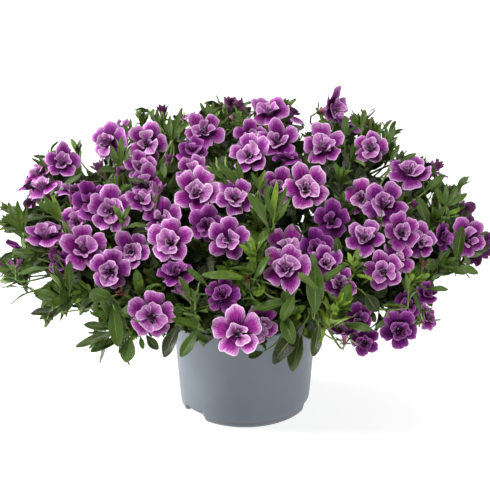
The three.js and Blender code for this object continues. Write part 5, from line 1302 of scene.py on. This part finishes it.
def leaf_finish(name, dark, middle, light):
    """Matte green blades with a pale midrib, faint side veins and a paler underside."""
    n = Nodes(name, 0.45, 0.34)
    along, aside, _ = n.marks("where")
    tone, seed, under = n.marks("look")
    cloud = n.noise(170, 3)
    fine = n.noise(2200, 2)
    shade = tone + (cloud - 0.5) * 0.5 + (seed - 0.5) * 0.44
    colour = n.mix(shade.step(-0.35, 0.4), dark, middle)
    colour = n.mix(shade.step(0.45, 0.95), colour, light)
    wide = abs(aside)
    rib = wide.step(0.1, 0.01) * along.step(1.0, 0.5)
    side = (along * 9.0 - wide * 2.2).off_half()
    veins = side.step(0.1, 0.0) * wide.step(1.0, 0.5, 0, 0.12)
    colour = n.mix((rib * 0.42).sum("MAXIMUM", veins), colour, (148, 174, 70))
    colour = n.mix(wide.step(0.84, 1.0, 0, 0.2), colour, (136, 160, 64))
    colour = n.mix(under * 0.36, colour, (104, 128, 62))
    n.set("Base Color", n.mix(fine.step(0.4, 0.75, 0, 0.08), colour, (176, 196, 120)))
    n.bump(rib * -0.8 + side * 0.35 + fine * 0.3, 0.00025, 0.8)
    n.set("Roughness", cloud.step(0.3, 0.7, 0.36, 0.56))
    return n.material


def stem_finish():
    """Green stems, dark brown-green at a low tone, with fine hairs that catch the light. The dark end is
    painted shade on the main stems deep in the mound, and partly older woody stem.
    """
    n = Nodes("stem_green", 0.6, 0.3)
    fine = n.noise(3200, 2)
    shade = n.marks("look")[0] + (n.noise(240, 3) - 0.5) * 0.4
    # The dark colour at a low tone is painted shade for stems deep in the mound.
    colour = n.mix(shade.step(-0.1, 0.45), (52, 50, 30), (92, 116, 54))
    colour = n.mix(shade.step(0.45, 0.9), colour, (134, 158, 84))
    n.set("Base Color", n.mix(fine.step(0.5, 0.8, 0, 0.25), colour, (180, 190, 150)))
    n.bump(fine, 0.0002)
    return n.material


def pot_finish():
    """Satin blue-grey moulded plastic with a faint moulded grain and a little dust low down."""
    n = Nodes("pot_plastic", 0.42, 0.45)
    cloud = n.noise(26, 4)
    grain = n.noise(900, 3)
    height = n.marks("where")[2]
    colour = n.mix(cloud.step(0.3, 0.7), (99, 107, 116), (105, 113, 122))
    n.set("Base Color", n.mix(height.step(0.12, 0.0, 0, 0.12), colour, (150, 148, 142)))
    n.set("Roughness", (cloud + grain * 0.3).step(0.4, 0.9, 0.36, 0.5))
    n.bump(grain, 0.00006, 0.8)
    return n.material


def soil_finish():
    """Dark crumbs with a few pale flecks."""
    n = Nodes("potting_soil", 0.95, 0.2)
    crumb = n.noise(520, 4, 0.7)
    colour = n.mix(crumb.step(0.3, 0.7), (26, 19, 14), (72, 56, 42))
    n.set("Base Color", n.mix(n.noise(1900, 2).step(0.66, 0.74, 0, 0.6), colour, (128, 104, 76)))
    n.bump(crumb, 0.0012)
    return n.material


def floor_finish():
    n = Nodes("pale_floor", 0.8, 0.1)
    n.set("Base Color", n.mix(n.noise(3, 2), (186, 186, 186), (190, 190, 190)))
    n.surface.inputs["Emission Color"].default_value = (1, 1, 1, 1)
    n.surface.inputs["Emission Strength"].default_value = FLOOR_GLOW
    return n.material


# ---- Making every piece ----
stems = lay_stems()
blooms = lay_blooms()
sprays = lay_sprays(blooms, stems)
shoots = lay_shoots(stems, blooms)

petal = petal_finish("petal_outer", False)
ruffle = petal_finish("petal_inner", True)
funnel = funnel_finish()
green = leaf_finish("leaf_green", (12, 19, 3), (57, 84, 16), (138, 168, 48))
calyx = leaf_finish("calyx_green", (52, 78, 32), (84, 120, 50), (124, 156, 76))
stem_green = stem_finish()
closed = bud_finish("bud_petals", (96, 34, 78), (196, 136, 190), (66, 18, 54))
spent = bud_finish("spent_petals", (84, 38, 38), (160, 118, 92), (56, 24, 24))

rng = np.random.default_rng(5)
for bloom in blooms:
    bloom["look"] = (BLOOM_TONES[bloom["tone"]] + 0.1 * rng.uniform(-1, 1), rng.random(), 0)
    bloom["cup"] = rng.uniform(*BLOOM_CUPS)
    bloom["mesh"] = FINE if bloom["number"] < len(FRONT_BLOOMS) else COARSE

for number, spray in enumerate(sprays):
    batch = Batch()
    for bloom in spray["blooms"]:
        add_corolla(batch, bloom, rng)
        add_ruffle(batch, bloom, rng)
        add_funnel(batch, bloom, rng)
        add_stalk(batch, bloom, stems[spray["stem"]], rng)
    make_piece(f"blooms_{number + 1:02d}", batch, (petal, ruffle, funnel, calyx),
               (f"spray_{number + 1:02d}",))

batch = Batch()
for bud in BUDS:
    add_bud(batch, bud, stems, rng)
make_piece("buds", batch, (closed, calyx, spent))

twigs = lay_twigs(stems, blooms, rng)
inner_twigs = lay_inner_twigs(stems, rng)
for number, stem in enumerate(stems):
    own = [[branch for branch in branches if branch["stem"] == number]
           for branches in (shoots, twigs, inner_twigs)]
    batch = grow_stem(number, stem, *own, blooms, rng)
    grow_broad_leaves(batch, number, stems, rng)
    make_piece(f"foliage_{number + 1:02d}", batch, (green, stem_green),
               (f"stem_{number + 1:02d}",))

make_piece("moulded_pot", pot_batch(), (pot_finish(),), ("pot",))
make_piece("crumbled_soil", soil_batch(rng), (soil_finish(),), ("soil",))

# ---- Floor, light and camera ----
PICTURE_WIDTH, PIXELS_PER_MM, SENSOR_WIDTH = 490, 1.245, 36
SKY_STRENGTH, FLOOR_GLOW = 0.42, 0.76

bpy.ops.mesh.primitive_plane_add(size=30, location=(0, 0, 0))
floor = bpy.context.object
floor.name = "floor"
floor.data.materials.append(floor_finish())

world = bpy.data.worlds.new("studio")
world.use_nodes = True
background = world.node_tree.nodes["Background"]
background.inputs["Color"].default_value = (1, 1, 1, 1)
background.inputs["Strength"].default_value = SKY_STRENGTH
bpy.context.scene.world = world


def softbox(name, place, aim, size, power):
    """A square lamp, `size` metres wide, that looks at a point."""
    light = bpy.data.lights.new(name, "AREA")
    light.shape, light.size, light.energy = "SQUARE", size, power
    lamp = bpy.data.objects.new(name, light)
    bpy.context.scene.collection.objects.link(lamp)
    lamp.location = place
    look = unit(np.array(aim, float) - np.array(place, float))
    heading = math.atan2(look[1], look[0])
    lamp.rotation_euler = (math.acos(-look[2]), 0, heading - 0.5 * math.pi)


softbox("key", (-0.8, -1.3, 2.1), (0, 0, 0.12), 0.7, 45)
softbox("left", (-1.9, 0.4, 0.55), (0, 0, 0.06), 1.0, 68)
softbox("right", (1.9, -0.1, 0.55), (0, 0, 0.06), 1.0, 14)
softbox("back", (0.4, 1.6, 1.8), (0, 0, 0.15), 1.2, 12)

camera = bpy.data.objects.new("camera", bpy.data.cameras.new("camera"))
camera.data.sensor_width = SENSOR_WIDTH
camera.data.lens = PIXELS_PER_MM * SIGHT_DISTANCE * SENSOR_WIDTH / PICTURE_WIDTH
camera.data.clip_start, camera.data.clip_end = 0.05, 50
camera.location = tuple(EYE * MM)
camera.rotation_euler = (0.5 * math.pi - radians(SIGHT_ELEVATION), 0, 0)
bpy.context.scene.collection.objects.link(camera)
bpy.context.scene.camera = camera
bpy.context.scene.view_settings.view_transform = "Standard"
